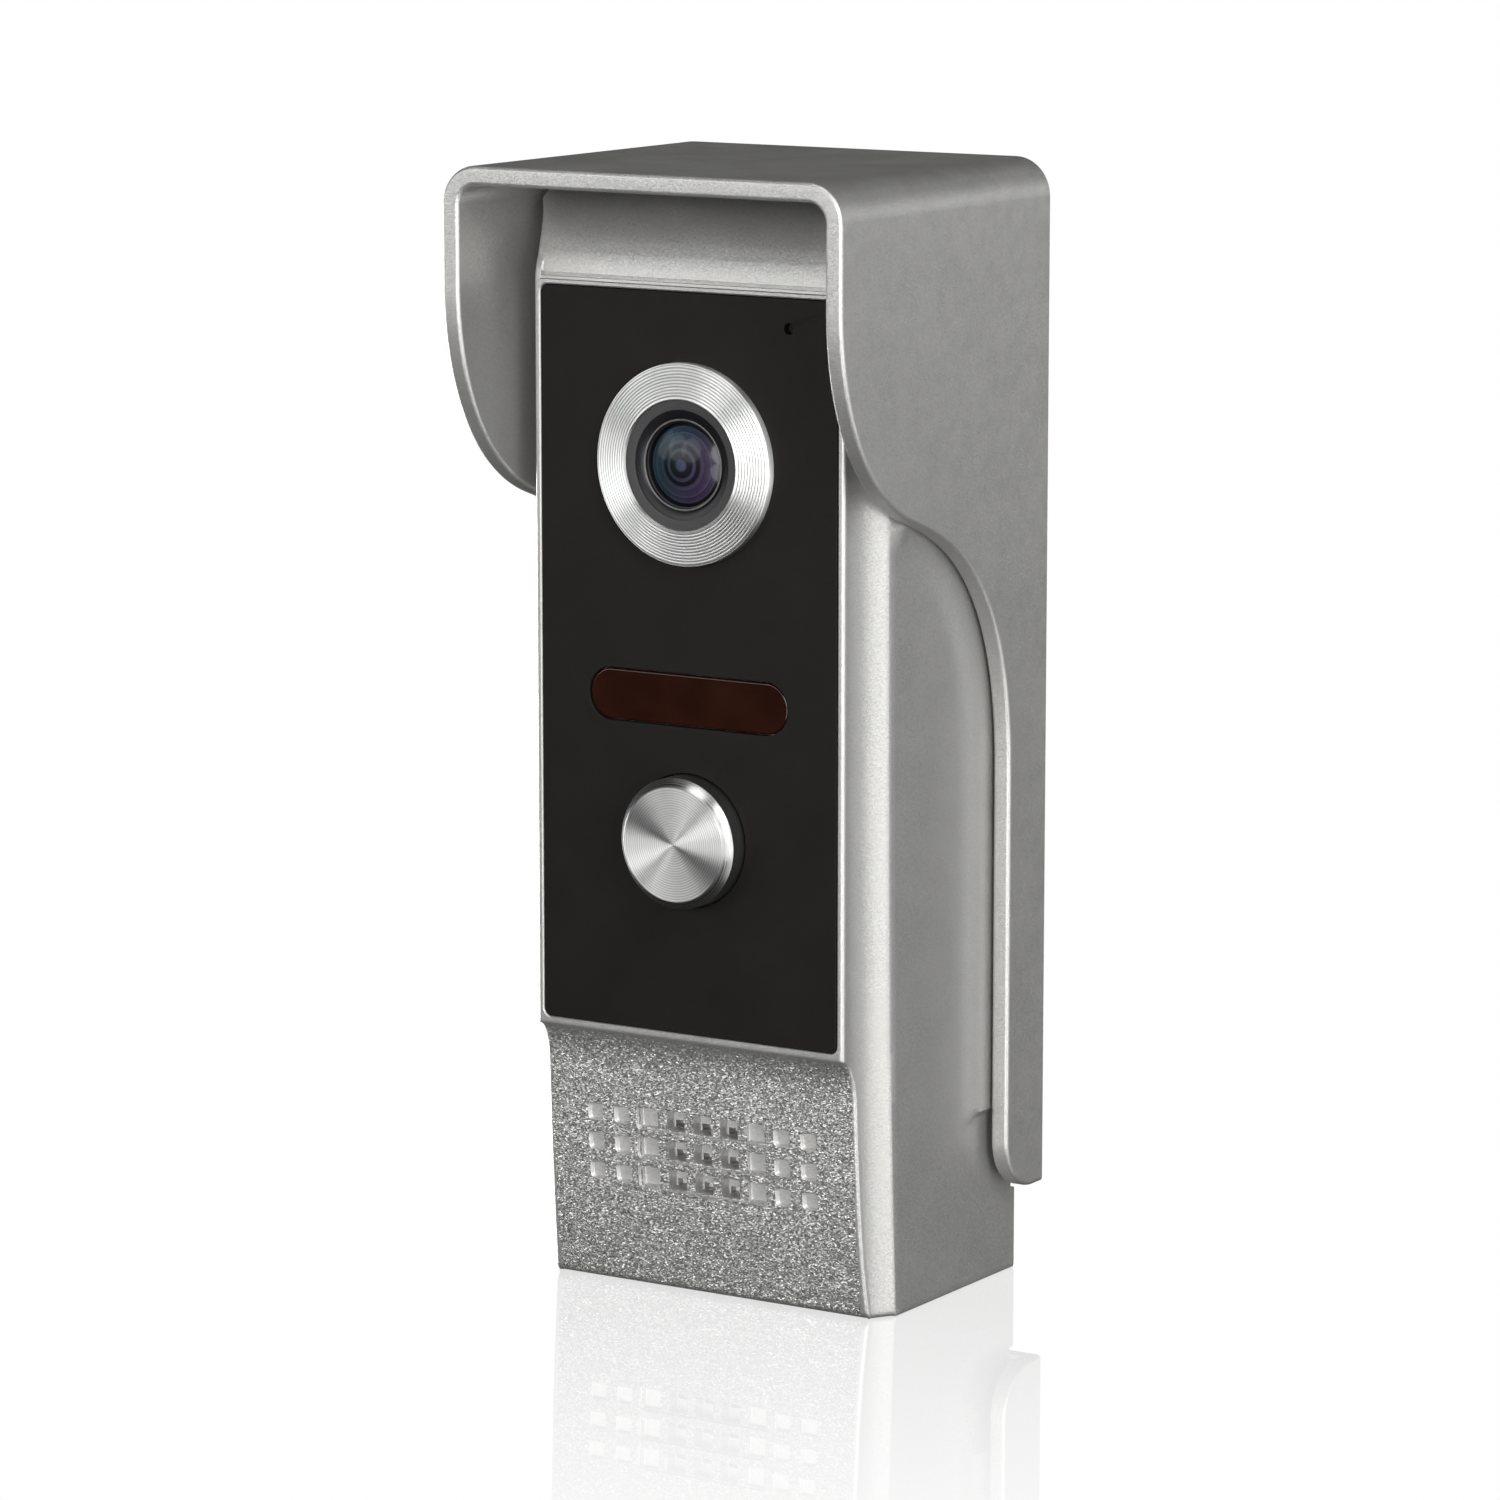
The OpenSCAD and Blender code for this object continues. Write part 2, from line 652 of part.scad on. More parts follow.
module speaker_gasket() color([0.1, 0.1, 0.1]) {
    turned(0, speaker_h) square_at(12, speaker_r, chin_skin_d + 0.35, speaker_d - 0.05);
}

module speaker_frame() color([0.45, 0.45, 0.47]) {
    turned(0, speaker_h) polygon([
        [12, speaker_d], [speaker_r, speaker_d], [speaker_r, speaker_d + 1],
        [9, speaker_d + 4.4], [0, speaker_d + 4.4], [0, speaker_d + 3.6], [8.4, speaker_d + 3.6],
        [12, speaker_d + 1.4]
    ]);
    // solder tag
    block(-4.5, 4.5, speaker_d + 4.3, speaker_d + 5.1, speaker_h + 8.6, speaker_h + 11.4);
}

module speaker_cone() color([0.08, 0.08, 0.09]) {
    turned(0, speaker_h) polygon([
        [0, speaker_d + 1.6], [4, speaker_d + 2.2], [7.5, speaker_d + 1.5], [10, speaker_d + 0.3],
        [11.9, speaker_d + 0.3], [11.9, speaker_d + 0.8], [10, speaker_d + 0.9],
        [7.5, speaker_d + 2.2], [4, speaker_d + 2.9], [0, speaker_d + 2.3]
    ]);
}

module speaker_magnet() color([0.25, 0.25, 0.27]) {
    drum(0, speaker_h, speaker_d + 4.45, speaker_d + 8.2, 7.5);
}

// ---- electronics ----

module main_board() color([0.05, 0.32, 0.14]) {
    difference() {
        block(-board_w / 2, board_w / 2, board_d, board_d + board_t, board_low_h, board_high_h);
        for (x = [-board_boss_x, board_boss_x], h = board_boss_h)
            drum(x, h, board_d - 1, board_d + 3, 1.2);
    }
}

module board_components() color([0.1, 0.1, 0.11]) {
    rear = board_d + board_t + 0.05;
    block(-12, -3, rear, rear + 1.4, 36, 45);
    block(-14, -8, rear, rear + 1.2, 24, 30);
    block(-5, 5, rear, rear + 1.35, 49, 51);
    drum(-12, 15, rear, rear + 7.5, 3.1);
    drum(-4, 29.5, rear, rear + 5.5, 2.5);
    drum(4.5, 30, rear, rear + 5.5, 2.5);
    for (x = [-9 : 3 : 9]) block(x, x + 1.6, board_d - 0.95, board_d - 0.05, 45, 46);
}

module volume_body() color([0.1, 0.2, 0.55]) {
    rear = board_d + board_t + 0.05;
    difference() {
        block(volume_x - 3.3, volume_x + 3.3, rear, rear + 4, volume_h - 3.3, volume_h + 3.3);
        drum(volume_x, volume_h, rear + 2, rear + 5, 2.2 + slide_gap);
    }
}

module volume_rotor() color([0.9, 0.88, 0.8]) {
    rear = board_d + board_t + 0.05;
    difference() {
        drum(volume_x, volume_h, rear + 2.1, rear + 4.6, 2.2);
        block(volume_x - 0.35, volume_x + 0.35, rear + 3.9, rear + 5, volume_h - 3, volume_h + 3);
    }
}

module cable_socket() color([0.92, 0.9, 0.85]) {
    rear = board_d + board_t + 0.05;
    difference() {
        block(-6.5, 6.5, rear, rear + 7, 8, 14);
        block(-5.7, 5.7, rear + 1.2, rear + 8, 8.8, 13.2);
        for (i = [-1.5 : 1.5]) drum(i * 2.5, 11, rear - 1, rear + 2, 0.4);
    }
}

module socket_pins() color([0.8, 0.65, 0.3]) {
    rear = board_d + board_t + 0.05;
    for (i = [-1.5 : 1.5]) drum(i * 2.5, 11, rear + 0.02, rear + 6, 0.32);
}

// Flat cable that arches from the camera board to the main board
module camera_ribbon() color([0.75, 0.72, 0.65]) {
    lower_h = 50;
    upper_h = 58;
    mid_h = (lower_h + upper_h) / 2;
    r = (upper_h - lower_h) / 2;
    d0 = board_d + board_t + 1.5;
    side_slab(-4.5, 4.5) intersection() {
        difference() {
            translate([d0, mid_h]) circle(r + 0.15);
            translate([d0, mid_h]) circle(r - 0.15);
        }
        translate([d0, mid_h - r - 1]) square([r + 1, 2 * r + 2]);
    }
}

// Two insulated leads that loop from the speaker's tag to the main board
module speaker_leads() color([0.6, 0.05, 0.05]) {
    for (x = [-2.5, 2.5])
        translate([x, y_of(lead_loop[0]), z_of(lead_loop[1])]) rotate([0, 90, 0])
            rotate([0, 0, -29.3]) rotate_extrude(angle = 180)
                translate([lead_loop_r, 0]) circle(0.55);
}

module cable_grommet() color([0.05, 0.05, 0.05]) {
    turned(0, cable_h) polygon([
        [cable_r, cover_d - 1.3], [7.4, cover_d - 1.3], [7.4, cover_d - 0.03],
        [5.95, cover_d - 0.03], [5.95, rear_d + 0.03], [7.4, rear_d + 0.03],
        [7.4, body_d - 0.6], [cable_r, body_d - 0.6]
    ]);
}

// ---- fasteners ----

// Pan-head screw along Y, head to the rear, seated at depth d
module rear_screw(x, h, d, shank_r, length, head_r, head_t) {
    difference() {
        union() {
            drum(x, h, d - length, d + 0.01, shank_r);
            drum(x, h, d, d + head_t, head_r);
        }
        for (a = [0, 90]) translate([x, y_of(d + head_t), z_of(h)]) rotate([0, a, 0])
            cube([head_r * 1.3, head_t, 0.4], center = true);
    }
}

module housing_screws() color([0.6, 0.6, 0.62]) {
    for (x = [-corner_x, corner_x], h = [corner_low_h, corner_high_h])
        rear_screw(x, h, rear_d - 0.88, 1.2, 10, 2.3, 0.85);
}

module board_screws() color([0.6, 0.6, 0.62]) {
    for (x = [-1, 1]) {
        for (h = board_boss_h)
            rear_screw(x * board_boss_x, h, board_d + board_t + 0.02, 1, 7, 2, 1.1);
        rear_screw(x * camera_boss[0], lens_h + x * camera_boss[1],
            camera_board_d + camera_board_t + 0.02, 1, 7, 1.9, 1.1);
        rear_screw(x * ir_boss_x, ir_h, ir_board_d + 1.22, 0.8, 4.5, 1.5, 0.9);
    }
}

module hood_screw() color([0.6, 0.6, 0.62]) {
    base = z_of(-chin_h);
    translate([0, y_of(foot_screw_d), 0]) difference() {
        union() {
            translate([0, 0, base + 0.15]) cylinder(h = 1.1, r = 2.7);
            translate([0, 0, base + 1.2]) cylinder(h = 4, r = 1.2);
        }
        for (a = [0, 90]) rotate([0, 0, a]) translate([0, 0, base + 0.15])
            cube([3.4, 0.7, 1], center = true);
    }
}

rain_hood();
front_housing();
back_cover();
housing_seal();
front_panel();
panel_adhesive();
camera_ring();
lens_bezel();
lens_barrel();
lens_front_glass();
lens_rear_glass();
lens_holder();
image_sensor();
camera_board();
infrared_window();
infrared_board();
infrared_lamps();
light_sensor();
button_cap();
button_bush();
button_spring();
button_clip();
switch_body();
switch_plunger();
microphone();
microphone_boot();
speaker_frame();
speaker_cone();
speaker_magnet();
speaker_cloth();
speaker_gasket();
main_board();
board_components();
volume_body();
volume_rotor();
cable_socket();
socket_pins();
camera_ribbon();
speaker_leads();
cable_grommet();
housing_screws();
board_screws();
hood_screw();
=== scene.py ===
"""Looks of a wired door station: a slim grey body with a black face panel in a rain hood.

Shapes are built in millimetres as (x, depth, height): depth is measured back from the face
panel's front and height up from the panel's lower edge. Each finished piece is scaled to metres.
"""

import math

import bmesh
import bpy
import numpy as np
from bpy.props import FloatProperty, FloatVectorProperty, IntProperty, PointerProperty
from mathutils import Matrix, Vector


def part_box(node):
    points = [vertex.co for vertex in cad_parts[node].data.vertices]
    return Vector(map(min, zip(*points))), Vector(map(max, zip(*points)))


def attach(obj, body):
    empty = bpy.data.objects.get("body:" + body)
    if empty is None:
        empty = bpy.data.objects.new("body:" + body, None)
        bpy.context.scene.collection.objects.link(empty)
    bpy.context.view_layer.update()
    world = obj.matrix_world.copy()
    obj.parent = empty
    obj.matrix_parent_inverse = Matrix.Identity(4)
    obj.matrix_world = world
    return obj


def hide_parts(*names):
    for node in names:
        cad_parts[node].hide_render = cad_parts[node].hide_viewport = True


bl_info = {
    "name": "Door station",
    "version": (1, 0, 0),
    "blender": (4, 5, 0),
    "location": "View3D > Sidebar > Door station",
    "description": "Builds a wired door station with a rain hood around its packed frame",
    "category": "Object",
}

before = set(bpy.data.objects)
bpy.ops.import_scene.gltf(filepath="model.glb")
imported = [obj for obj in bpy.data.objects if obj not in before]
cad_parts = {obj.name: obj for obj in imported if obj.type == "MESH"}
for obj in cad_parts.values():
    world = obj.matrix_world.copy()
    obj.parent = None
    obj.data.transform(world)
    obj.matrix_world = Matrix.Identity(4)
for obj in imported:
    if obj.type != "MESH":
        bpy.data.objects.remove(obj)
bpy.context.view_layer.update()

MM = 0.001
PANEL_GAP = 0.05  # the panel is this much smaller than its place on every side
PANEL_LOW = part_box("front_panel")[0]
FRONT_Y = PANEL_LOW.y / MM
FOOT_Z = PANEL_LOW.z / MM - PANEL_GAP


def extent(node):
    """x, depth and height limits of a CAD node, in millimetres."""
    low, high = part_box(node)
    return (
        low.x / MM, high.x / MM,
        low.y / MM - FRONT_Y, high.y / MM - FRONT_Y,
        low.z / MM - FOOT_Z, high.z / MM - FOOT_Z,
    )


def middle(node):
    """x and height of a CAD node's centre."""
    x0, x1, _, _, h0, h1 = extent(node)
    return (x0 + x1) / 2, (h0 + h1) / 2


def place(x, d, h):
    """Point in the working space, in millimetres, in the frame's own directions."""
    return Vector((x, d + FRONT_Y, h + FOOT_Z))


# ---- driving dimensions, in millimetres ----

BODY_D = extent("rain_hood")[3]
PANEL_W = 2 * (extent("front_panel")[1] + PANEL_GAP)
PANEL_H = extent("front_panel")[5] + PANEL_GAP
PANEL_T = 1.1
LIP_W = 0.95
WALL = 2.0
SIDE_X = extent("back_cover")[1] + WALL + 0.1
PAD_T = extent("front_housing")[1] - SIDE_X
PAD_TOP_H = 62.0
PAD_LOW_H = -12.0
PAD_LEAD = 3.9  # the pads start this far in front of the cheeks' edge
TOP_H = extent("front_housing")[5]
BASE_H = extent("front_housing")[4]
POCKET_D = PANEL_T + 0.3
SKIN_D = POCKET_D + 1.8
CHIN_SKIN_D = 6.2
CHIN_RECESS = 2.5
CHIN_SLOPE = 2.2
CHIN_TOP_H = -7.0
REAR_D = BODY_D - 1.9
HEEL_D = BODY_D - 1.0

HOOD_X = extent("rain_hood")[1]
HOOD_TOP_H = extent("rain_hood")[5]
HOOD_T = 2.3
HOOD_REACH = -extent("rain_hood")[2]
HOOD_CORNER_R = 4.6
HOOD_FOOT_H = -21.8
PLATE_T = 1.8
TAIL_D = 28.2
FOOT_R = 6.5

LENS_H = middle("camera_ring")[1]
RING_R = extent("camera_ring")[1]
RING_BORE_R = 7.65
RING_PROUD = -extent("camera_ring")[2]
RING_EDGE = 1.1
RING_LAND = 0.25  # plain edge between the bore and the first groove
LENS_D = extent("lens_bezel")[2] + 0.75
IR_H = middle("infrared_window")[1]
IR_W, IR_T = 27.7, 6.4
BUTTON_H = middle("button_cap")[1]
BUTTON_R = extent("button_cap")[1]
BUTTON_PROUD = -extent("button_cap")[2]
MIC_X, MIC_H = middle("microphone")
CABLE_H = middle("cable_grommet")[1]
GRILLE_H = middle("speaker_cloth")[1] - 0.8
ORIGIN_H = -FOOT_Z
SCREW_PITCH = 60.0

LENS_HOLE_R = 9.45  # through the panel and the housing
BUTTON_HOLE_R = 9  # through the housing only
MIC_HOLE_R = 0.65  # through the panel
MIC_BORE_R = 1.2  # through the housing behind it
COVER_SCREWS = [(x, h) for x in (-18.4, 18.4) for h in (-26.4, 92.3)]
HOOK_X = 10  # hooks of the hood's back plate, to either side of the middle
FOOT_SCREW_D = 29
TONGUE_SLOT_X = 6.6  # half the width of the slot for the hood's tongue


# ---- settings shown in the sidebar ----


def length(name, description, value, low=0.0):
    return FloatProperty(
        name=name, description=description, default=value * MM, min=low * MM,
        subtype="DISTANCE", unit="LENGTH", precision=5,
    )


def colour(name, description, value):
    return FloatVectorProperty(
        name=name, description=description, default=value, size=4, min=0.0, max=1.0,
        subtype="COLOR",
    )


class StationSizes(bpy.types.PropertyGroup):
    """Sizes of the fine shapes that the frame leaves open"""

    rim_round: length("Rim rounding", "Radius along the edges of the hood's rim", 0.5)
    ridge_round: length("Ridge rounding", "Radius of the lip and of the chin's side ridges", 0.5)
    pad_ramp: length("Pad ramp", "Width of the soft ramp in front of the side pads", 3.7)
    base_round: length("Base rounding", "Radius where the chin turns into the base", 0.9)
    groove_pitch: length("Ring groove pitch", "Spacing of the turned grooves of the ring", 0.36)
    groove_depth: length("Ring groove depth", "Depth of the turned grooves of the ring", 0.045)
    spin_pitch: length("Button groove pitch", "Spacing of the button's turned grooves", 0.3)
    spin_depth: length("Button groove depth", "Depth of the button's turned grooves", 0.006)
    grille_pitch_x: length("Grille column pitch", "Spacing of the grille's columns", 3.75)
    grille_pitch_z: length("Grille row pitch", "Spacing of the grille's rows", 3.64)
    grille_columns: IntProperty(
        name="Grille columns", description="Number of grille columns", default=9, min=7, max=9)
    grille_rows: IntProperty(
        name="Grille rows", description="Number of grille rows", default=3, min=1, max=3)


class StationColours(bpy.types.PropertyGroup):
    """Colours of the finishes"""

    hood_paint: colour("Hood paint", "Silver paint of the rain hood", (0.375, 0.372, 0.362, 1))
    body_paint: colour("Body paint", "Silver paint of the body", (0.375, 0.372, 0.362, 1))
    panel_black: colour("Panel", "Black of the face panel", (0.0068, 0.0063, 0.0058, 1))
    window_red: colour("Infrared window", "Dark red of the window", (0.0115, 0.0026, 0.0010, 1))
    aluminium: colour("Turned metal", "Bright turned metal", (0.93, 0.93, 0.92, 1))
    board_green: colour("Circuit board", "Solder mask", (0.015, 0.13, 0.05, 1))


# ---- mesh helpers ----


def blank_mesh(bm, name="solid"):
    """Mesh from a finished bmesh, which is freed."""
    mesh = bpy.data.meshes.new(name)
    bm.to_mesh(mesh)
    bm.free()
    return mesh


def tidy(bm, distance=1e-4):
    """Doubles merged and faces turned outwards."""
    bmesh.ops.remove_doubles(bm, verts=bm.verts, dist=distance)
    bmesh.ops.dissolve_degenerate(bm, dist=distance, edges=bm.edges)
    bmesh.ops.recalc_face_normals(bm, faces=bm.faces)
    return bm


def loft(rings, ends=True):
    """Solid skin through closed rings of (x, depth, height) points."""
    bm = bmesh.new()
    rows = [[bm.verts.new(place(*point)) for point in ring] for ring in rings]
    count = len(rows[0])
    for low, high in zip(rows, rows[1:]):
        for i in range(count):
            j = (i + 1) % count
            bm.faces.new((low[i], low[j], high[j], high[i]))
    if ends:
        bm.faces.new(rows[0][::-1])
        bm.faces.new(rows[-1])
    return blank_mesh(tidy(bm))


def turned(profile, x, h, steps=96):
    """Piece turned round a front-to-back axis, from (radius, depth) points.

    A profile that starts and ends on the axis is open, and any other is a closed ring.
    Its UV map runs round the axis and along the profile, for the turned metal's grain.
    """
    on_axis = profile[0][0] == 0 and profile[-1][0] == 0
    bm = bmesh.new()
    grain = bm.loops.layers.uv.new("turned")
    runs = [0.0]
    points = profile if on_axis else profile + profile[:1]
    for a, b in zip(points, points[1:]):
        runs.append(runs[-1] + math.dist(a, b))
    columns = []
    for i in range(steps):
        angle = math.tau * i / steps
        columns.append([
            bm.verts.new(place(x + r * math.cos(angle), d, h + r * math.sin(angle)))
            for r, d in profile
        ])
    count = len(profile)
    for i in range(steps):
        here, there = columns[i], columns[(i + 1) % steps]
        for k in range(count - 1 if on_axis else count):
            m = (k + 1) % count
            face = bm.faces.new((here[k], here[m], there[m], there[k]))
            for loop, (u, v) in zip(face.loops, ((i, k), (i, k + 1), (i + 1, k + 1), (i + 1, k))):
                loop[grain].uv = (u / steps, runs[v] / runs[-1])
    return blank_mesh(tidy(bm, 2e-5))


def drum(x, h, d0, d1, r, steps=96):
    """Solid cylinder round a front-to-back axis."""
    return turned([(0, d0), (r, d0), (r, d1), (0, d1)], x, h, steps)


def block(x0, x1, d0, d1, h0, h1, bevel=0.0):
    """Box with softened edges."""
    bm = bmesh.new()
    bmesh.ops.create_cube(bm, size=1)
    low, high = place(x0, d0, h0), place(x1, d1, h1)
    for vert in bm.verts:
        vert.co = Vector(
            [low[k] + (vert.co[k] + 0.5) * (high[k] - low[k]) for k in range(3)])
    if bevel:
        bmesh.ops.bevel(
            bm, geom=bm.edges, offset=bevel, segments=2, profile=0.5, affect="EDGES")
    return blank_mesh(tidy(bm, 1e-5))


def rounded(half_w, h0, h1, r, x=0.0, steps=8):
    """Points of an upright rectangle with rounded corners, as (x, height)."""
    corners = [
        (x + half_w - r, h1 - r, 0), (x - half_w + r, h1 - r, 90),
        (x - half_w + r, h0 + r, 180), (x + half_w - r, h0 + r, 270),
    ]
    points = []
    for cx, ch, start in corners:
        for i in range(steps + 1):
            a = math.radians(start + 90 * i / steps)
            points.append((cx + r * math.cos(a), ch + r * math.sin(a)))
    return points


def circle(x, h, r, steps=64):
    return [
        (x + r * math.cos(math.tau * i / steps), h + r * math.sin(math.tau * i / steps))
        for i in range(steps)
    ]


def plate(outlines, d0, d1, bevel=0.0):
    """Flat plate between two depths; the outlines inside the first are its holes."""
    curve = bpy.data.curves.new("outline", "CURVE")
    curve.dimensions, curve.fill_mode = "2D", "BOTH"
    curve.extrude = (d1 - d0) / 2 - bevel
    curve.bevel_depth, curve.offset = bevel, -bevel
    curve.bevel_resolution = 2
    for outline in outlines:
        spline = curve.splines.new("POLY")
        spline.points.add(len(outline) - 1)
        for point, (x, h) in zip(spline.points, outline):
            point.co = (x, h, 0, 1)
        spline.use_cyclic_u = True
    holder = bpy.data.objects.new("outline", curve)
    bpy.context.scene.collection.objects.link(holder)
    mesh = evaluated(holder)
    bpy.data.objects.remove(holder)
    upright = Matrix(((1, 0, 0, 0), (0, 0, 1, 0), (0, 1, 0, 0), (0, 0, 0, 1)))
    mesh.transform(Matrix.Translation(place(0, (d0 + d1) / 2, 0)) @ upright)
    bm = bmesh.new()
    bm.from_mesh(mesh)
    return blank_mesh(tidy(bm))


def at_origin(mesh):
    """Moves a mesh from the working space's zero point to the frame's origin."""
    mesh.transform(Matrix.Translation(-place(0, 0, 0)))
    return mesh


def upright_drum(low, high, r, steps, d, h):
    """Round cutter that stands upright at a point, between two heights measured from it."""
    mesh = at_origin(drum(0, 0, low, high, r, steps))
    mesh.transform(Matrix.Rotation(math.pi / 2, 4, "X"))
    mesh.transform(Matrix.Translation(place(0, d, h)))
    return mesh


def evaluated(obj):
    """Plain mesh of an object with its modifiers applied."""
    graph = bpy.context.evaluated_depsgraph_get()
    graph.update()
    return bpy.data.meshes.new_from_object(
        obj.evaluated_get(graph), preserve_all_data_layers=True, depsgraph=graph)


def holder_of(mesh):
    """Linked object that carries a mesh."""
    obj = bpy.data.objects.new("work", mesh)
    bpy.context.scene.collection.objects.link(obj)
    return obj


def combine(mesh, other, operation="DIFFERENCE"):
    """One solid cut by another, or the union of the two."""
    main, tool = holder_of(mesh), holder_of(other)
    modifier = main.modifiers.new("combine", "BOOLEAN")
    modifier.operation, modifier.solver = operation, "EXACT"
    modifier.material_mode = "TRANSFER"
    modifier.object = tool
    result = evaluated(main)
    bpy.data.objects.remove(main)
    bpy.data.objects.remove(tool)
    return result


def cut(mesh, *cutters):
    for cutter in cutters:
        mesh = combine(mesh, cutter)
    return mesh


def unite(mesh, *others):
    for other in others:
        mesh = combine(mesh, other, "UNION")
    return mesh


def gather(*meshes):
    """Separate solids as one mesh."""
    bm = bmesh.new()
    for mesh in meshes:
        bm.from_mesh(mesh)
    result = blank_mesh(bm)
    for finish in meshes[0].materials:
        result.materials.append(finish)
    return result


def piece(name, mesh, materials, nodes=(), slot=None, body="station", sharp=35, weighted=True):
    """Finished piece in metres, shaded smooth, riding on its body."""
    mesh.transform(Matrix.Scale(MM, 4))
    if materials:
        marks = [polygon.material_index for polygon in mesh.polygons]
        mesh.materials.clear()
        for finish in materials if isinstance(materials, (list, tuple)) else [materials]:
            mesh.materials.append(finish)
        mesh.polygons.foreach_set("material_index", marks)
    mesh.shade_smooth()
    mesh.set_sharp_from_angle(angle=math.radians(sharp))
    obj = holder_of(mesh)
    if weighted:
        modifier = obj.modifiers.new("even shading", "WEIGHTED_NORMAL")
        modifier.keep_sharp = True
        modifier.weight = 60
        smooth_mesh = evaluated(obj)
        obj.modifiers.clear()
        obj.data = smooth_mesh
    obj.name = obj.data.name = name
    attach(obj, body)
    if nodes:
        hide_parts(*([nodes] if isinstance(nodes, str) else nodes))
    return obj


# ---- node helpers ----


def node(tree, kind, inputs=None, **settings):
    """New node with its settings, and its inputs as values or as sockets to link."""
    new = tree.nodes.new(kind)
    for name, value in settings.items():
        setattr(new, name, value)
    for key, value in (inputs or {}).items():
        if isinstance(value, bpy.types.NodeSocket):
            tree.links.new(value, new.inputs[key])
        else:
            new.inputs[key].default_value = value
    return new


def maths(tree, operation, a, b=0.0, clamp=False):
    return node(
        tree, "ShaderNodeMath", {0: a, 1: b}, operation=operation, use_clamp=clamp).outputs[0]


def spread(tree, value, low, high, to_low=0.0, to_high=1.0):
    """Value moved from one range to another, and held inside it."""
    return node(tree, "ShaderNodeMapRange", {
        "Value": value, "From Min": low, "From Max": high,
        "To Min": to_low, "To Max": to_high}).outputs[0]


def mix(tree, share, a, b):
    return node(tree, "ShaderNodeMix", {0: share, 6: a, 7: b}, data_type="RGBA").outputs[2]


def vector(tree, operation, a, b=(0.0, 0.0, 0.0)):
    """Vector maths: a vector, or a number for a length or a dot product."""
    new = node(tree, "ShaderNodeVectorMath", {0: a, 3 if operation == "SCALE" else 1: b},
               operation=operation)
    return new.outputs["Value" if operation in ("LENGTH", "DOT_PRODUCT") else "Vector"]


def split(tree, value):
    return node(tree, "ShaderNodeSeparateXYZ", {0: value}).outputs


def spot(tree):
    """Place on the object, in its own coordinates."""
    return node(tree, "ShaderNodeTexCoord").outputs["Object"]


def noise(tree, scale, detail, where=None):
    return node(tree, "ShaderNodeTexNoise", {
        "Vector": where or spot(tree), "Scale": scale, "Detail": detail}).outputs


def from_axis(tree, centre):
    """Place measured from a front-to-back axis: its x, y and z, and its distance from the axis."""
    parts = split(tree, vector(tree, "SUBTRACT", spot(tree), centre))
    flat = node(tree, "ShaderNodeCombineXYZ", {0: parts[0], 2: parts[2]}).outputs[0]
    return parts, vector(tree, "LENGTH", flat)


def shader_group(name, inputs, outputs):
    """New shader group, with the sockets it is given and those it fills."""
    tree = bpy.data.node_groups.new(name, "ShaderNodeTree")
    for socket, kind, value in inputs:
        made = tree.interface.new_socket(socket, in_out="INPUT", socket_type=kind)
        made.default_value = value
    for socket, kind in outputs:
        tree.interface.new_socket(socket, in_out="OUTPUT", socket_type=kind)
    return tree, node(tree, "NodeGroupInput").outputs, node(tree, "NodeGroupOutput").inputs


FLOAT, VECTOR = "NodeSocketFloat", "NodeSocketVector"
GROUPS = {}


def make_flakes():
    """Metal flakes in paint: every small cell leans its own way and has its own brightness."""
    tree, given, out = shader_group(
        "Metal flakes",
        [("Size", FLOAT, 0.2 * MM), ("Lean", FLOAT, 0.3), ("Grain", FLOAT, 0.5)],
        [("Normal", VECTOR), ("Glint", FLOAT)],
    )
    where = vector(tree, "MULTIPLY", spot(tree), (0.75, 1.0, 1.45))
    scale = maths(tree, "DIVIDE", 1.0, given["Size"])
    cells = node(tree, "ShaderNodeTexVoronoi", {"Vector": where, "Scale": scale})
    coarse = noise(tree, maths(tree, "DIVIDE", scale, 1.7), 2.0, where)
    total = node(tree, "ShaderNodeNewGeometry").outputs["Normal"]
    for source, amount in ((cells.outputs, given["Lean"]), (coarse, given["Grain"])):
        lean = vector(tree, "SUBTRACT", source["Color"], (0.5, 0.5, 0.5))
        total = vector(tree, "ADD", total, vector(tree, "SCALE", lean, amount))
    tree.links.new(vector(tree, "NORMALIZE", total), out["Normal"])
    red = node(tree, "ShaderNodeSeparateColor", {0: cells.outputs["Color"]}).outputs[0]
    tree.links.new(red, out["Glint"])
    return tree


def make_cloudiness():
    """Slow change of tone over a surface, as uneven paint or handling leaves."""
    tree, given, out = shader_group(
        "Slow tone", [("Size", FLOAT, 8 * MM), ("Low", FLOAT, 0.0), ("High", FLOAT, 1.0)],
        [("Value", FLOAT)],
    )
    cloud = noise(tree, maths(tree, "DIVIDE", 1.0, given["Size"]), 3.0)[0]
    tree.links.new(spread(tree, cloud, 0.3, 0.7, given["Low"], given["High"]), out["Value"])
    return tree


def make_wear_and_highlight():
    """Mask of the sharp outer edges, in patches: partly wear where hands and cloths reach first,
    partly a painted highlight along the edges.
    """
    tree, given, out = shader_group(
        "Edge wear", [("Amount", FLOAT, 0.5)], [("Mask", FLOAT)])
    pointed = node(tree, "ShaderNodeNewGeometry").outputs["Pointiness"]
    patches = spread(tree, noise(tree, 0.5 / MM, 3.0)[0], 0.35, 0.6)
    mask = maths(tree, "MULTIPLY", spread(tree, pointed, 0.515, 0.6), patches)
    tree.links.new(maths(tree, "MULTIPLY", mask, given["Amount"]), out["Mask"])
    return tree


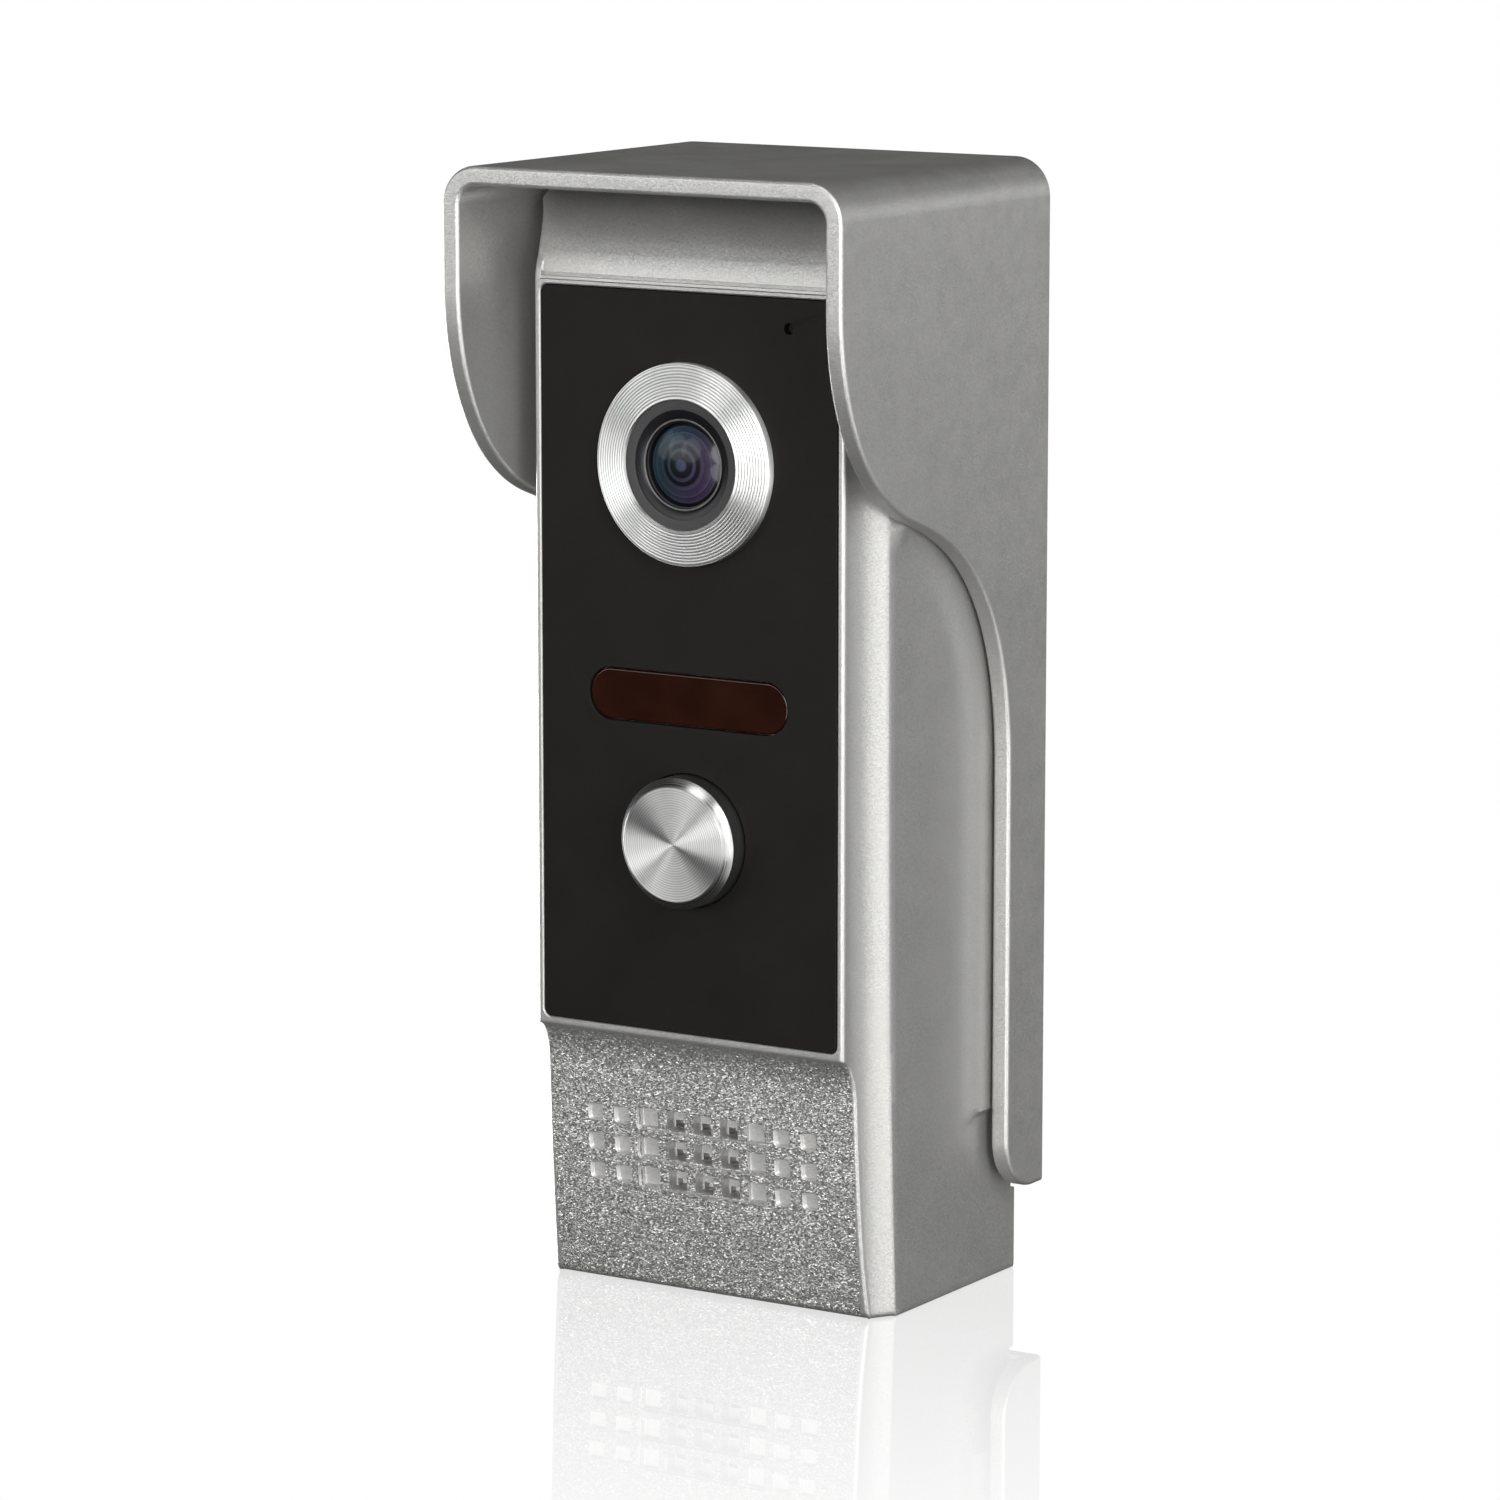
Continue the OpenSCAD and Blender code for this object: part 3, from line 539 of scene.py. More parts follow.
def make_dust():
    """Thin dust on what faces up."""
    tree, given, out = shader_group("Dust", [("Amount", FLOAT, 0.2)], [("Mask", FLOAT)])
    up = split(tree, node(tree, "ShaderNodeNewGeometry").outputs["Normal"])[2]
    patches = spread(tree, noise(tree, 0.12 / MM, 4.0)[0], 0.35, 0.7)
    mask = maths(tree, "MULTIPLY", spread(tree, up, 0.2, 1.0), patches)
    tree.links.new(maths(tree, "MULTIPLY", mask, given["Amount"]), out["Mask"])
    return tree


def make_rings():
    """Turning marks round a front-to-back axis: relief, a tone for each mark, and a mask of the
    grooves that carries their painted shade.
    """
    tree, given, out = shader_group(
        "Turning marks",
        [("Centre", VECTOR, (0, 0, 0)), ("Pitch", FLOAT, 0.1 * MM),
         ("Start", FLOAT, 0.0), ("Groove", FLOAT, 0.36 * MM)],
        [("Height", FLOAT), ("Tone", FLOAT), ("Groove", FLOAT)],
    )
    radius = from_axis(tree, given["Centre"])[1]
    turns = maths(tree, "DIVIDE", radius, given["Pitch"])
    line = node(tree, "ShaderNodeTexNoise", {"W": turns, "Scale": 1.0, "Detail": 2.0},
                noise_dimensions="1D").outputs[0]
    tree.links.new(line, out["Height"])
    tree.links.new(spread(tree, line, 0.3, 0.7), out["Tone"])
    turn = maths(tree, "DIVIDE", maths(tree, "SUBTRACT", radius, given["Start"]), given["Groove"])
    wave = maths(tree, "COSINE", maths(tree, "MULTIPLY", turn, math.tau))
    tree.links.new(spread(tree, wave, 0.2, -1.0), out["Groove"])
    return tree


def make_weave():
    """Plain weave of thin threads in the plane of X and Z."""
    tree, given, out = shader_group(
        "Plain weave", [("Thread", FLOAT, 0.25 * MM)], [("Height", FLOAT)])
    parts = split(tree, spot(tree))
    rate = maths(tree, "DIVIDE", math.pi, given["Thread"])
    across, upward = (
        maths(tree, "SINE", maths(tree, "MULTIPLY", parts[i], rate)) for i in (0, 2))
    over = maths(tree, "MULTIPLY", across, upward)
    tree.links.new(spread(tree, over, -1.0, 1.0), out["Height"])
    return tree


def make_traces():
    """Copper traces and pads under solder mask: a mask of straight runs and round pads."""
    tree, given, out = shader_group(
        "Board traces", [("Pitch", FLOAT, 1.3 * MM)], [("Trace", FLOAT), ("Pad", FLOAT)])
    cells = {"Vector": spot(tree), "Scale": maths(tree, "DIVIDE", 1.0, given["Pitch"]),
             "Randomness": 0.75}
    for output, low, high, settings in (
        ("Trace", 0.10, 0.06, {"feature": "DISTANCE_TO_EDGE", "distance": "EUCLIDEAN"}),
        ("Pad", 0.22, 0.17, {"distance": "MANHATTAN"}),
    ):
        away = node(tree, "ShaderNodeTexVoronoi", cells, **settings).outputs["Distance"]
        tree.links.new(spread(tree, away, low, high), out[output])
    return tree


def make_groups():
    for name, build in (
        ("flakes", make_flakes), ("tone", make_cloudiness), ("wear", make_wear_and_highlight),
        ("dust", make_dust), ("rings", make_rings), ("weave", make_weave), ("traces", make_traces),
    ):
        GROUPS[name] = build()


def group(tree, name, **values):
    """New node of one of the shared groups, with its input values."""
    return node(tree, "ShaderNodeGroup", values, node_tree=GROUPS[name])


# ---- materials ----


def shaded(colour_value, amount):
    return tuple(min(1.0, c * amount) for c in colour_value[:3]) + (1.0,)


def opened(finish):
    """A material's tree, its main shader and what feeds the shader's colour."""
    tree = finish.node_tree
    bsdf = tree.nodes["Principled BSDF"]
    feeds = bsdf.inputs["Base Color"].links
    return tree, bsdf, feeds[0].from_socket if feeds else None


def relief(tree, bsdf, strength, distance, height):
    """Fine relief on the surface, from a height and a distance in millimetres."""
    bump = node(tree, "ShaderNodeBump", {
        "Strength": strength, "Distance": distance * MM, "Height": height}).outputs[0]
    tree.links.new(bump, bsdf.inputs["Normal"])


def material(name, base, roughness, metallic=0.0, tone=0.08, tone_size=6.0, rough_tone=0.06,
             grain=0.0, grain_size=0.15, wear=0.0, dust=0.0, **plain):
    """Principled material whose colour, roughness and fine relief all vary over the surface."""
    new = bpy.data.materials.new(name)
    new.use_nodes = True
    tree, bsdf, _ = opened(new)
    bsdf.inputs["Metallic"].default_value = metallic
    for key, value in plain.items():
        bsdf.inputs[key.replace("_", " ")].default_value = value
    slow = group(tree, "tone", Size=tone_size * MM, Low=0.0, High=1.0).outputs["Value"]
    shade = mix(tree, slow, shaded(base, 1 - tone), shaded(base, 1 + tone))
    rough = spread(tree, slow, 0.0, 1.0, roughness - rough_tone, roughness + rough_tone)
    if wear:
        worn_and_lit_edges = group(tree, "wear", Amount=wear).outputs["Mask"]
        # lighter edges: partly wear, partly painted highlight
        shade = mix(tree, worn_and_lit_edges, shade, shaded(base, 1.7))
    if dust:
        dusty = group(tree, "dust", Amount=dust).outputs["Mask"]
        shade = mix(tree, dusty, shade, (0.34, 0.33, 0.31, 1))
        rough = maths(tree, "ADD", rough, maths(tree, "MULTIPLY", dusty, 0.3), True)
    tree.links.new(shade, bsdf.inputs["Base Color"])
    tree.links.new(rough, bsdf.inputs["Roughness"])
    if grain:
        relief(tree, bsdf, grain, 0.05, noise(tree, 1 / (grain_size * MM), 3.0)[0])
    return new


def paint(name, base, flake=0.16, lean=0.12, grain=0.06, roughness=0.45, glint=0.1,
          metallic=0.8):
    """Silver paint with metal flakes over a slightly uneven coat."""
    new = material(name, base, roughness, metallic=metallic, tone=0.02, tone_size=5.0,
                   rough_tone=0.012)
    tree, bsdf, under = opened(new)
    flakes = group(tree, "flakes", Size=flake * MM, Lean=lean, Grain=grain)
    bright = mix(tree, spread(tree, flakes.outputs["Glint"], 0.0, 1.0, 0.0, glint),
                 under, (0.95, 0.95, 0.93, 1))
    worn_and_lit_edges = group(tree, "wear", Amount=0.3).outputs["Mask"]
    # lighter edges: partly wear, partly painted highlight
    bright = mix(tree, worn_and_lit_edges, bright, shaded(base, 1.6))
    dusty = group(tree, "dust", Amount=0.25).outputs["Mask"]
    bright = mix(tree, dusty, bright, (0.20, 0.19, 0.18, 1))
    tree.links.new(bright, bsdf.inputs["Base Color"])
    tree.links.new(flakes.outputs["Normal"], bsdf.inputs["Normal"])
    return new


def turned_metal(name, base, centre, roughness, anisotropic, pitch, height=0.3, groove=0.36,
                 start=0.0, shadow=0.0):
    """Bright metal with turning marks round the given centre, and painted shade in its grooves."""
    new = material(name, base, roughness, metallic=1.0, tone=0.03)
    tree, bsdf, under = opened(new)
    marks = group(tree, "rings", Centre=tuple(centre), Pitch=pitch * MM, Start=start * MM,
                  Groove=groove * MM)
    tone = mix(tree, marks.outputs["Tone"], shaded(base, 0.78), under)
    # darker colour in the grooves' bottoms: painted shade
    if shadow:
        dark = maths(tree, "MULTIPLY", marks.outputs["Groove"], shadow)
        tone = mix(tree, dark, tone, shaded(base, 0.15))
    tree.links.new(tone, bsdf.inputs["Base Color"])
    rough = spread(tree, marks.outputs["Tone"], 0.0, 1.0, roughness - 0.05, roughness + 0.07)
    tree.links.new(rough, bsdf.inputs["Roughness"])
    relief(tree, bsdf, height, 0.01, marks.outputs["Height"])
    bsdf.inputs["Anisotropic"].default_value = anisotropic
    bsdf.inputs["Anisotropic Rotation"].default_value = 0.25
    tangent = node(tree, "ShaderNodeTangent", {}, direction_type="UV_MAP", uv_map="turned")
    tree.links.new(tangent.outputs[0], bsdf.inputs["Tangent"])
    return new


def board_green(name, base):
    """Solder mask over copper traces."""
    new = material(name, base, 0.32, tone=0.06, Coat_Weight=0.4)
    tree, bsdf, under = opened(new)
    marks = group(tree, "traces", Pitch=1.5 * MM)
    shade = mix(tree, marks.outputs["Trace"], under, shaded(base, 1.9))
    shade = mix(tree, marks.outputs["Pad"], shade, (0.72, 0.70, 0.62, 1))
    tree.links.new(shade, bsdf.inputs["Base Color"])
    relief(tree, bsdf, 0.4, 0.03, marks.outputs["Trace"])
    return new


def cloth(name, base):
    """Thin woven speaker cloth, with painted shade where the weave dips."""
    new = material(name, base, 0.85, tone=0.06, Sheen_Weight=0.3)
    tree, bsdf, under = opened(new)
    weave = group(tree, "weave", Thread=0.22 * MM).outputs["Height"]
    # darker where the weave dips: painted shade
    shade = mix(tree, weave, shaded(base, 0.55), under)
    tree.links.new(shade, bsdf.inputs["Base Color"])
    relief(tree, bsdf, 0.8, 0.06, weave)
    return new


# Brightness of the lens's painted reflections from its middle out, with a painted glint in the
# middle, as (share of the radius, level)
LENS_PAINTED_REFLECTIONS = (
    (0.0, 1.0), (0.12, 0.9), (0.17, 0.1), (0.33, 0.55), (0.39, 0.6), (0.41, 0.05), (0.50, 0.03),
    (0.52, 0.5), (0.59, 0.7), (0.61, 0.35), (0.75, 0.5), (0.77, 0.95), (0.80, 0.3), (0.89, 0.5),
    (0.91, 0.8),
)
LENS_REFLECTION_R = 4.9


def coated_lens(name, centre):
    """Dark rings round a lens, with bright rings of painted reflection, a painted glint in the
    middle, and painted reflections of the coatings that turn from teal on one side to violet on the
    other.
    """
    new = bpy.data.materials.new(name)
    new.use_nodes = True
    tree, bsdf, _ = opened(new)
    parts, radius = from_axis(tree, tuple(centre))
    ramp = node(tree, "ShaderNodeValToRGB", {0: spread(tree, radius, 0.0, LENS_REFLECTION_R * MM)})
    stops = ramp.color_ramp.elements
    for stop, position in ((stops[0], 0.30), (stops[1], 0.93)):
        stop.position, stop.color = position, (0.01, 0.01, 0.01, 1)
    # bright rings and the bright middle: painted reflection and a painted glint
    for position, level in LENS_PAINTED_REFLECTIONS:
        stops.new(position).color = (level, level, level, 1)
    # teal on one side, violet on the other: painted reflection of the coatings
    slant = maths(tree, "SUBTRACT", parts[0], maths(tree, "MULTIPLY", parts[2], 0.4))
    side = spread(tree, slant, -2.5 * MM, 2.5 * MM)
    reflection_hue = mix(tree, side, (0.018, 0.042, 0.058, 1), (0.045, 0.033, 0.068, 1))
    slow = group(tree, "tone", Size=2 * MM, Low=0.75, High=1.2).outputs["Value"]
    strength = maths(tree, "MULTIPLY", slow, ramp.outputs[0])
    shade = mix(tree, strength, (0.003, 0.003, 0.004, 1), reflection_hue)
    tree.links.new(shade, bsdf.inputs["Base Color"])
    for key, value in (("Roughness", 0.3), ("Specular IOR Level", 0.1), ("Coat Weight", 0.3),
                       ("Coat Roughness", 0.1)):
        bsdf.inputs[key].default_value = value
    return new


MATERIALS = {}

# Finishes that need no more than a colour, a roughness and the settings of material()
PLAIN_FINISHES = {
    "bezel_grey": ((0.034, 0.034, 0.034, 1), 0.6, dict(tone=0.04, grain=0.2,
                                                       Specular_IOR_Level=0.15)),
    "barrel_black": ((0.005, 0.005, 0.006, 1), 0.3, dict(grain=0.15, Specular_IOR_Level=0.25)),
    # lighter grey for the ring on the barrel's lip: painted glint
    "dull_ring": ((0.08, 0.08, 0.08, 1), 0.5, dict(tone=0.2, tone_size=2.0,
                                                   Specular_IOR_Level=0.3)),
    "core_glass": ((0.035, 0.03, 0.07, 1), 0.12, dict(tone=0.3, tone_size=1.0, rough_tone=0.03,
                                                      Coat_Weight=0.6)),
    "black_plastic": ((0.016, 0.016, 0.017, 1), 0.5, dict(grain=0.4, wear=0.15)),
    "rubber_black": ((0.011, 0.011, 0.011, 1), 0.75, dict(grain=0.5, grain_size=0.3, dust=0.3)),
    "foam_tape": ((0.55, 0.50, 0.38, 1), 0.9, dict(grain=0.9, grain_size=0.25)),
    "component_black": ((0.018, 0.018, 0.02, 1), 0.45, dict(grain=0.5)),
    "lamp_clear": ((0.05, 0.035, 0.09, 1), 0.08, dict(tone=0.2, rough_tone=0.03,
                                                      Coat_Weight=1.0)),
    "sensor_ceramic": ((0.46, 0.18, 0.09, 1), 0.5, dict(tone=0.2, tone_size=0.6, grain=0.4)),
    "spring_steel": ((0.55, 0.55, 0.57, 1), 0.25, dict(metallic=1.0, grain=0.2, grain_size=0.4)),
    "zinc_steel": ((0.62, 0.62, 0.64, 1), 0.3, dict(metallic=1.0, tone=0.15, tone_size=1.2,
                                                    grain=0.25, wear=0.3)),
    "cone_paper": ((0.02, 0.02, 0.022, 1), 0.7, dict(grain=0.7, grain_size=0.5)),
    "magnet_iron": ((0.14, 0.14, 0.15, 1), 0.4, dict(metallic=0.8, tone=0.2, grain=0.4,
                                                     wear=0.4)),
    "speaker_steel": ((0.35, 0.35, 0.36, 1), 0.33, dict(metallic=1.0, tone=0.1, grain=0.2,
                                                        wear=0.3)),
    "white_plastic": ((0.72, 0.70, 0.63, 1), 0.4, dict(tone=0.05, grain=0.15)),
    "blue_plastic": ((0.03, 0.09, 0.36, 1), 0.38, dict(tone=0.08, grain=0.2, wear=0.3)),
    "brass_pin": ((0.75, 0.55, 0.2, 1), 0.25, dict(metallic=1.0, tone=0.1)),
    "ribbon_film": ((0.60, 0.45, 0.22, 1), 0.3, dict(tone=0.1, tone_size=1.0, Coat_Weight=0.5)),
    "lead_red": ((0.42, 0.015, 0.012, 1), 0.4, dict(tone=0.1, grain=0.2)),
    "sensor_glass": ((0.04, 0.06, 0.09, 1), 0.1, dict(tone=0.3, tone_size=1.0, metallic=0.4,
                                                      rough_tone=0.04)),
}


def make_materials(colours):
    make_groups()
    lens = place(0, 0, LENS_H) * MM
    knob = place(0, 0, BUTTON_H) * MM
    body, metal = colours.body_paint, colours.aluminium
    for make, name, base, settings in (
        (paint, "hood_paint", colours.hood_paint, {}),
        (paint, "body_paint", body, {}),
        # the chin's coarser grain is real; its colour, the body paint darkened to 0.68, is painted
        # shade
        (paint, "chin_paint", shaded(body, 0.68), dict(
            flake=0.16, lean=0.8, grain=0.7, roughness=0.46, glint=0.25)),
        # a brighter copy of the body paint for the floors of the grille openings: painted light
        (paint, "pocket_paint", shaded(body, 1.4), dict(
            flake=0.2, lean=0.1, grain=0.08, roughness=0.5)),
        (material, "panel_black", colours.panel_black, dict(
            roughness=0.45, tone=0.08, tone_size=9.0, rough_tone=0.02, grain=0.3,
            grain_size=0.09, Specular_IOR_Level=0.1)),
        (turned_metal, "turned_aluminium", metal, dict(
            centre=lens, roughness=0.42, anisotropic=0.9, pitch=0.09,
            start=RING_BORE_R + RING_LAND, shadow=0.72)),
        (turned_metal, "button_metal", shaded(metal, 0.86), dict(
            centre=knob, roughness=0.38, anisotropic=0.95, pitch=0.07, groove=0.3, shadow=0.4)),
        # a much darker copy of the turned metal for the button's bevel and side: painted shade
        (turned_metal, "button_bevel", shaded(metal, 0.36), dict(
            centre=knob, roughness=0.3, anisotropic=0.3, pitch=0.2, height=0.1)),
        (coated_lens, "coated_lens", lens, {}),
        (material, "ir_red", colours.window_red, dict(
            roughness=0.16, tone=0.15, tone_size=5.0, rough_tone=0.03, Specular_IOR_Level=0.3,
            Coat_Weight=0.3, Coat_Roughness=0.05)),
        (board_green, "circuit_green", colours.board_green, {}),
        (cloth, "cloth_white", (0.80, 0.80, 0.78, 1), {}),
    ):
        MATERIALS[name] = make(name, base, **settings)
    for name, (base, roughness, settings) in PLAIN_FINISHES.items():
        MATERIALS[name] = material(name, base, roughness, **settings)


# ---- curves that several pieces follow ----


def bezier(points, t):
    a, b, c, d = (np.array(p, float) for p in points)
    return (1 - t) ** 3 * a + 3 * t * (1 - t) ** 2 * b + 3 * t * t * (1 - t) * c + t ** 3 * d


def cheek_curve(count=26):
    """The cheeks' S-shaped front edge, as (depth, height) from its top down."""
    upper = [(-HOOD_REACH, 88), (-HOOD_REACH, 76), (-4.5, 65.5), (6.5, 61.9)]
    lower = [(6.5, 61.9), (15.5, 58.9), (TAIL_D, 53), (TAIL_D, 30)]
    points = [bezier(upper, i / count) for i in range(count + 1)]
    points += [bezier(lower, i / count) for i in range(1, count + 1)]
    return [tuple(p) for p in points]


def smooth_step(t):
    t = min(1.0, max(0.0, t))
    return t * t * (3 - 2 * t)


# ---- rain hood ----


def hood_point(s, inward, d):
    """Point of the bent sheet: s runs along its outside from the roof's middle."""
    side = 1 if s >= 0 else -1
    run = abs(s)
    flat = HOOD_X - HOOD_CORNER_R
    turn = HOOD_CORNER_R * math.pi / 2
    if run <= flat:
        x, h = run, HOOD_TOP_H - inward
    elif run <= flat + turn:
        a = (run - flat) / HOOD_CORNER_R
        r = HOOD_CORNER_R - inward
        x, h = flat + r * math.sin(a), HOOD_TOP_H - HOOD_CORNER_R + r * math.cos(a)
    else:
        x, h = HOOD_X - inward, HOOD_TOP_H - HOOD_CORNER_R - (run - flat - turn)
    return side * x, d, h


def hood_edge():
    """Front edge of the right half of the unbent sheet, as (s, depth) from the roof's middle."""
    flat = HOOD_X - HOOD_CORNER_R
    turn = HOOD_CORNER_R * math.pi / 2
    corner_h = HOOD_TOP_H - HOOD_CORNER_R

    def run(h):
        return flat + turn + corner_h - h

    edge = [(flat * i / 4, -HOOD_REACH) for i in range(5)]
    edge += [(flat + turn * i / 14, -HOOD_REACH) for i in range(1, 15)]
    edge += [(run(corner_h - 3), -HOOD_REACH), (run(corner_h - 6), -HOOD_REACH)]
    edge += [(run(h), d) for d, h in cheek_curve()]
    tail_top, tail_low = 30.0, HOOD_FOOT_H + FOOT_R
    edge += [(run(tail_top + (tail_low - tail_top) * i / 5), TAIL_D) for i in range(1, 5)]
    for i in range(15):
        a = math.radians(180 + 90 * i / 14)
        edge.append((run(tail_low + FOOT_R * math.sin(a)), TAIL_D + FOOT_R + FOOT_R * math.cos(a)))
    edge.append((run(HOOD_FOOT_H), BODY_D))
    return edge


def hood_shell(rim):
    """The bent sheet: roof and cheeks with rounded front edges."""
    half = hood_edge()
    edge = [(-s, d) for s, d in half[:0:-1]] + half
    back_limit = half[-1][0] - rim
    steps = 4
    rings = []
    for i, (s, d) in enumerate(edge):
        s0, d0 = edge[max(i - 1, 0)]
        s1, d1 = edge[min(i + 1, len(edge) - 1)]
        along = np.array((s1 - s0, d1 - d0))
        inward = np.array((-along[1], along[0])) / np.linalg.norm(along)
        if i in (0, len(edge) - 1):
            inward = np.array((1.0 if i == 0 else -1.0, 0.0))
        back = min(max(s, -back_limit), back_limit)
        outer, inner = [], []
        for k in range(steps + 1):
            a = math.pi / 2 * k / steps
            off, down = rim * (1 - math.sin(a)), rim * (1 - math.cos(a))
            outer.append(hood_point(s + inward[0] * off, down, d + inward[1] * off))
            inner.append(hood_point(s + inward[0] * down, HOOD_T - off, d + inward[1] * down))
        rings.append(outer + inner + [hood_point(back, HOOD_T, BODY_D),
                                      hood_point(back, 0, BODY_D)])
    return loft(rings)


def countersink(h, d, hole_r):
    """Cutter of a countersunk wall screw hole, open to the front."""
    return turned([
        (0, d - 0.6), (hole_r + 2.8, d - 0.6), (hole_r + 1.6, d), (hole_r, d + 0.8),
        (hole_r, BODY_D + 1), (0, BODY_D + 1)], 0, h, 64)


def rain_hood_mesh(rim):
    plate_d = BODY_D - PLATE_T
    shell = hood_shell(rim)
    back = block(-HOOD_X + HOOD_T - 0.2, HOOD_X - HOOD_T + 0.2, plate_d, BODY_D,
                 HOOD_FOOT_H, HOOD_TOP_H - HOOD_T + 0.2)
    tongue_low = BASE_H + 2.5
    foot = block(-6, 6, 25.5, BODY_D, tongue_low, tongue_low + 1.8, 0.25)
    tongue = block(-6, 6, plate_d, BODY_D, tongue_low, HOOD_FOOT_H + 0.5)
    mesh = unite(shell, back, tongue, foot)
    for x in (-HOOK_X, HOOK_X):
        mesh = unite(
            mesh,
            block(x - 2.4, x + 2.4, 31.7, plate_d + 0.1, 84, 85.6, 0.2),
            block(x - 2.38, x + 2.38, 31.72, 32.9, 84.02, 88, 0.2),
        )
    for s in (-1, 1):
        mesh = cut(mesh, countersink(ORIGIN_H + s * SCREW_PITCH / 2, plate_d, 2.1))
    cable_hole = turned([
        (0, plate_d - 1), (8, plate_d - 1), (8, BODY_D - 0.3), (8.9, BODY_D + 0.6),
        (0, BODY_D + 0.6)], 0, CABLE_H, 96)
    thread_hole = upright_drum(-1.5, 1.5, 1.25, 32, FOOT_SCREW_D, tongue_low + 0.9)
    return cut(mesh, cable_hole, thread_hole)


# ---- front housing ----


def face_line():
    """The body's front line, as (height, depth) from the base to the top of the lip."""
    slope_h = CHIN_TOP_H - BASE_H
    points = []
    for i in range(19):
        t = 1.02 - 1.02 * i / 18
        points.append((CHIN_TOP_H - slope_h * t * 0.985,
                       CHIN_RECESS + CHIN_SLOPE * (0.6 * t + 0.4 * t ** 3)))
    reach = -LIP_W - 0.05 - CHIN_TOP_H
    for i in range(1, 17):
        a = math.radians(84 * i / 16)
        points.append((CHIN_TOP_H + reach * math.sin(a), CHIN_RECESS * math.cos(a)))
    points += [(-LIP_W + 0.03, 0.1), (-LIP_W + 0.15, 0.03), (-LIP_W + 0.35, 0.0)]
    return points


FACE_LINE = face_line()


def face_depth(h):
    """Depth of the front at one height, up to the lip's top."""
    heights, depths = zip(*FACE_LINE)
    return float(np.interp(min(h, 0.0), heights, depths))


def crown_depth(h, x):
    """Depth of the rounded top; beside the groove it runs on from the lip without a step."""
    r = TOP_H - PANEL_H
    depth = r + 0.3 - math.sqrt(max(0.0, r * r - (h - PANEL_H) ** 2))
    if x < PANEL_W / 2 - 0.1:
        return depth
    return depth * smooth_step((h - PANEL_H - LIP_W + 0.4) / 3.0)


def side_edge_depth(h):
    """Depth of the sharp edge between the sloping strip and the side."""
    return float(np.interp(h, (-32.7, -16, -6, 22, 57, 99.3), (8.0, 7.25, 6.9, 6.4, 6.15, 6.0)))


def strip_curve(h):
    """The hollow strip between the front's ridge and the side, as (x, depth) control points."""
    edge = side_edge_depth(h)
    ridge_x = PANEL_W / 2 + LIP_W
    return [(ridge_x, edge - 5.7), (ridge_x + 0.05, edge - 3.4),
            (ridge_x + 0.45 * (SIDE_X - ridge_x), edge - 2.0), (SIDE_X - 0.1, edge - 0.2)]


def pad_rise(d, h, ramp):
    """How far the side stands out: a soft ramp up to the pad under the hood's cheek."""
    if h > PAD_TOP_H:
        return 0.0
    line = [(p[0] - PAD_LEAD, p[1]) for p in cheek_curve(14)]
    line.append((TAIL_D - PAD_LEAD, PAD_LOW_H))
    away = 1e9
    for (ax, ah), (bx, bh) in zip(line, line[1:]):
        vx, vh = bx - ax, bh - ah
        t = ((d - ax) * vx + (h - ah) * vh) / (vx * vx + vh * vh)
        t = min(1.0, max(0.0, t))
        away = min(away, math.hypot(d - ax - vx * t, h - ah - vh * t))
    edge = float(np.interp(-h, [-p[1] for p in line], [p[0] for p in line]))
    inside = d > edge and h > line[-1][1]
    t = 0.5 + (away if inside else -away) / ramp
    return PAD_T * smooth_step(t)


FACE_STATIONS = (0, 5, 9, 12, 14, 16, 17.4, 18.6, 19.3, 19.7, 20.0, 20.3, 20.5, 20.75, 20.95)
STRIP_STEPS = 14
SIDE_STEPS = 26


def housing_ring(h, ridge_r, ramp, inset=0.0, crown=False):
    """Plan outline of the body at one height, from the front's middle round both sides."""
    edge_d = side_edge_depth(h)
    strip = [bezier(strip_curve(h), i / STRIP_STEPS) for i in range(STRIP_STEPS + 1)]
    strip += [(SIDE_X - 0.03, edge_d - 0.08), (SIDE_X, edge_d + 0.06)]
    ridge_x = PANEL_W / 2 + LIP_W
    start = (crown_depth(h, ridge_x) if crown else face_depth(h)) + ridge_r
    xs, ds = zip(*strip)
    far = max(edge_d + 0.06, start + 0.4)
    strip = [(float(np.interp(d, ds, xs)), d) for d in np.linspace(start, far, len(strip))]
    ridge_x = strip[0][0]
    scale = (ridge_x - ridge_r) / FACE_STATIONS[-1]
    half = [(x * scale, crown_depth(h, x) if crown else face_depth(h)) for x in FACE_STATIONS]
    corner = half[-1][1]
    for i in range(1, 7):
        a = math.pi / 2 * i / 6
        half.append((ridge_x - ridge_r + ridge_r * math.sin(a),
                     corner + ridge_r * (1 - math.cos(a))))
    half += strip[1:]
    rear = REAR_D if h > HOOD_FOOT_H - 0.9 else HEEL_D
    start = half[-1][1]
    for i in range(1, SIDE_STEPS + 1):
        d = start + (rear - start) * i / SIDE_STEPS
        half.append((SIDE_X + (0 if crown else pad_rise(d, h, ramp)), d))
    if inset:
        half = shrink(half, inset)
    return [(x, d, h) for x, d in half] + [(-x, d, h) for x, d in half[:0:-1]]


def shrink(half, inset):
    """A half outline moved inwards, fully at the front and a little at the sides."""
    moved = []
    for i, (x, d) in enumerate(half):
        x0, d0 = half[i - 1] if i else (-half[1][0], half[1][1])
        x1, d1 = half[min(i + 1, len(half) - 1)]
        along = math.hypot(x1 - x0, d1 - d0) or 1.0
        ahead = max(0.0, (x1 - x0) / along)
        step = inset * (0.15 + 0.85 * ahead)
        moved.append((x - step * (d1 - d0) / along if i else x, d + step * ahead))
    return moved


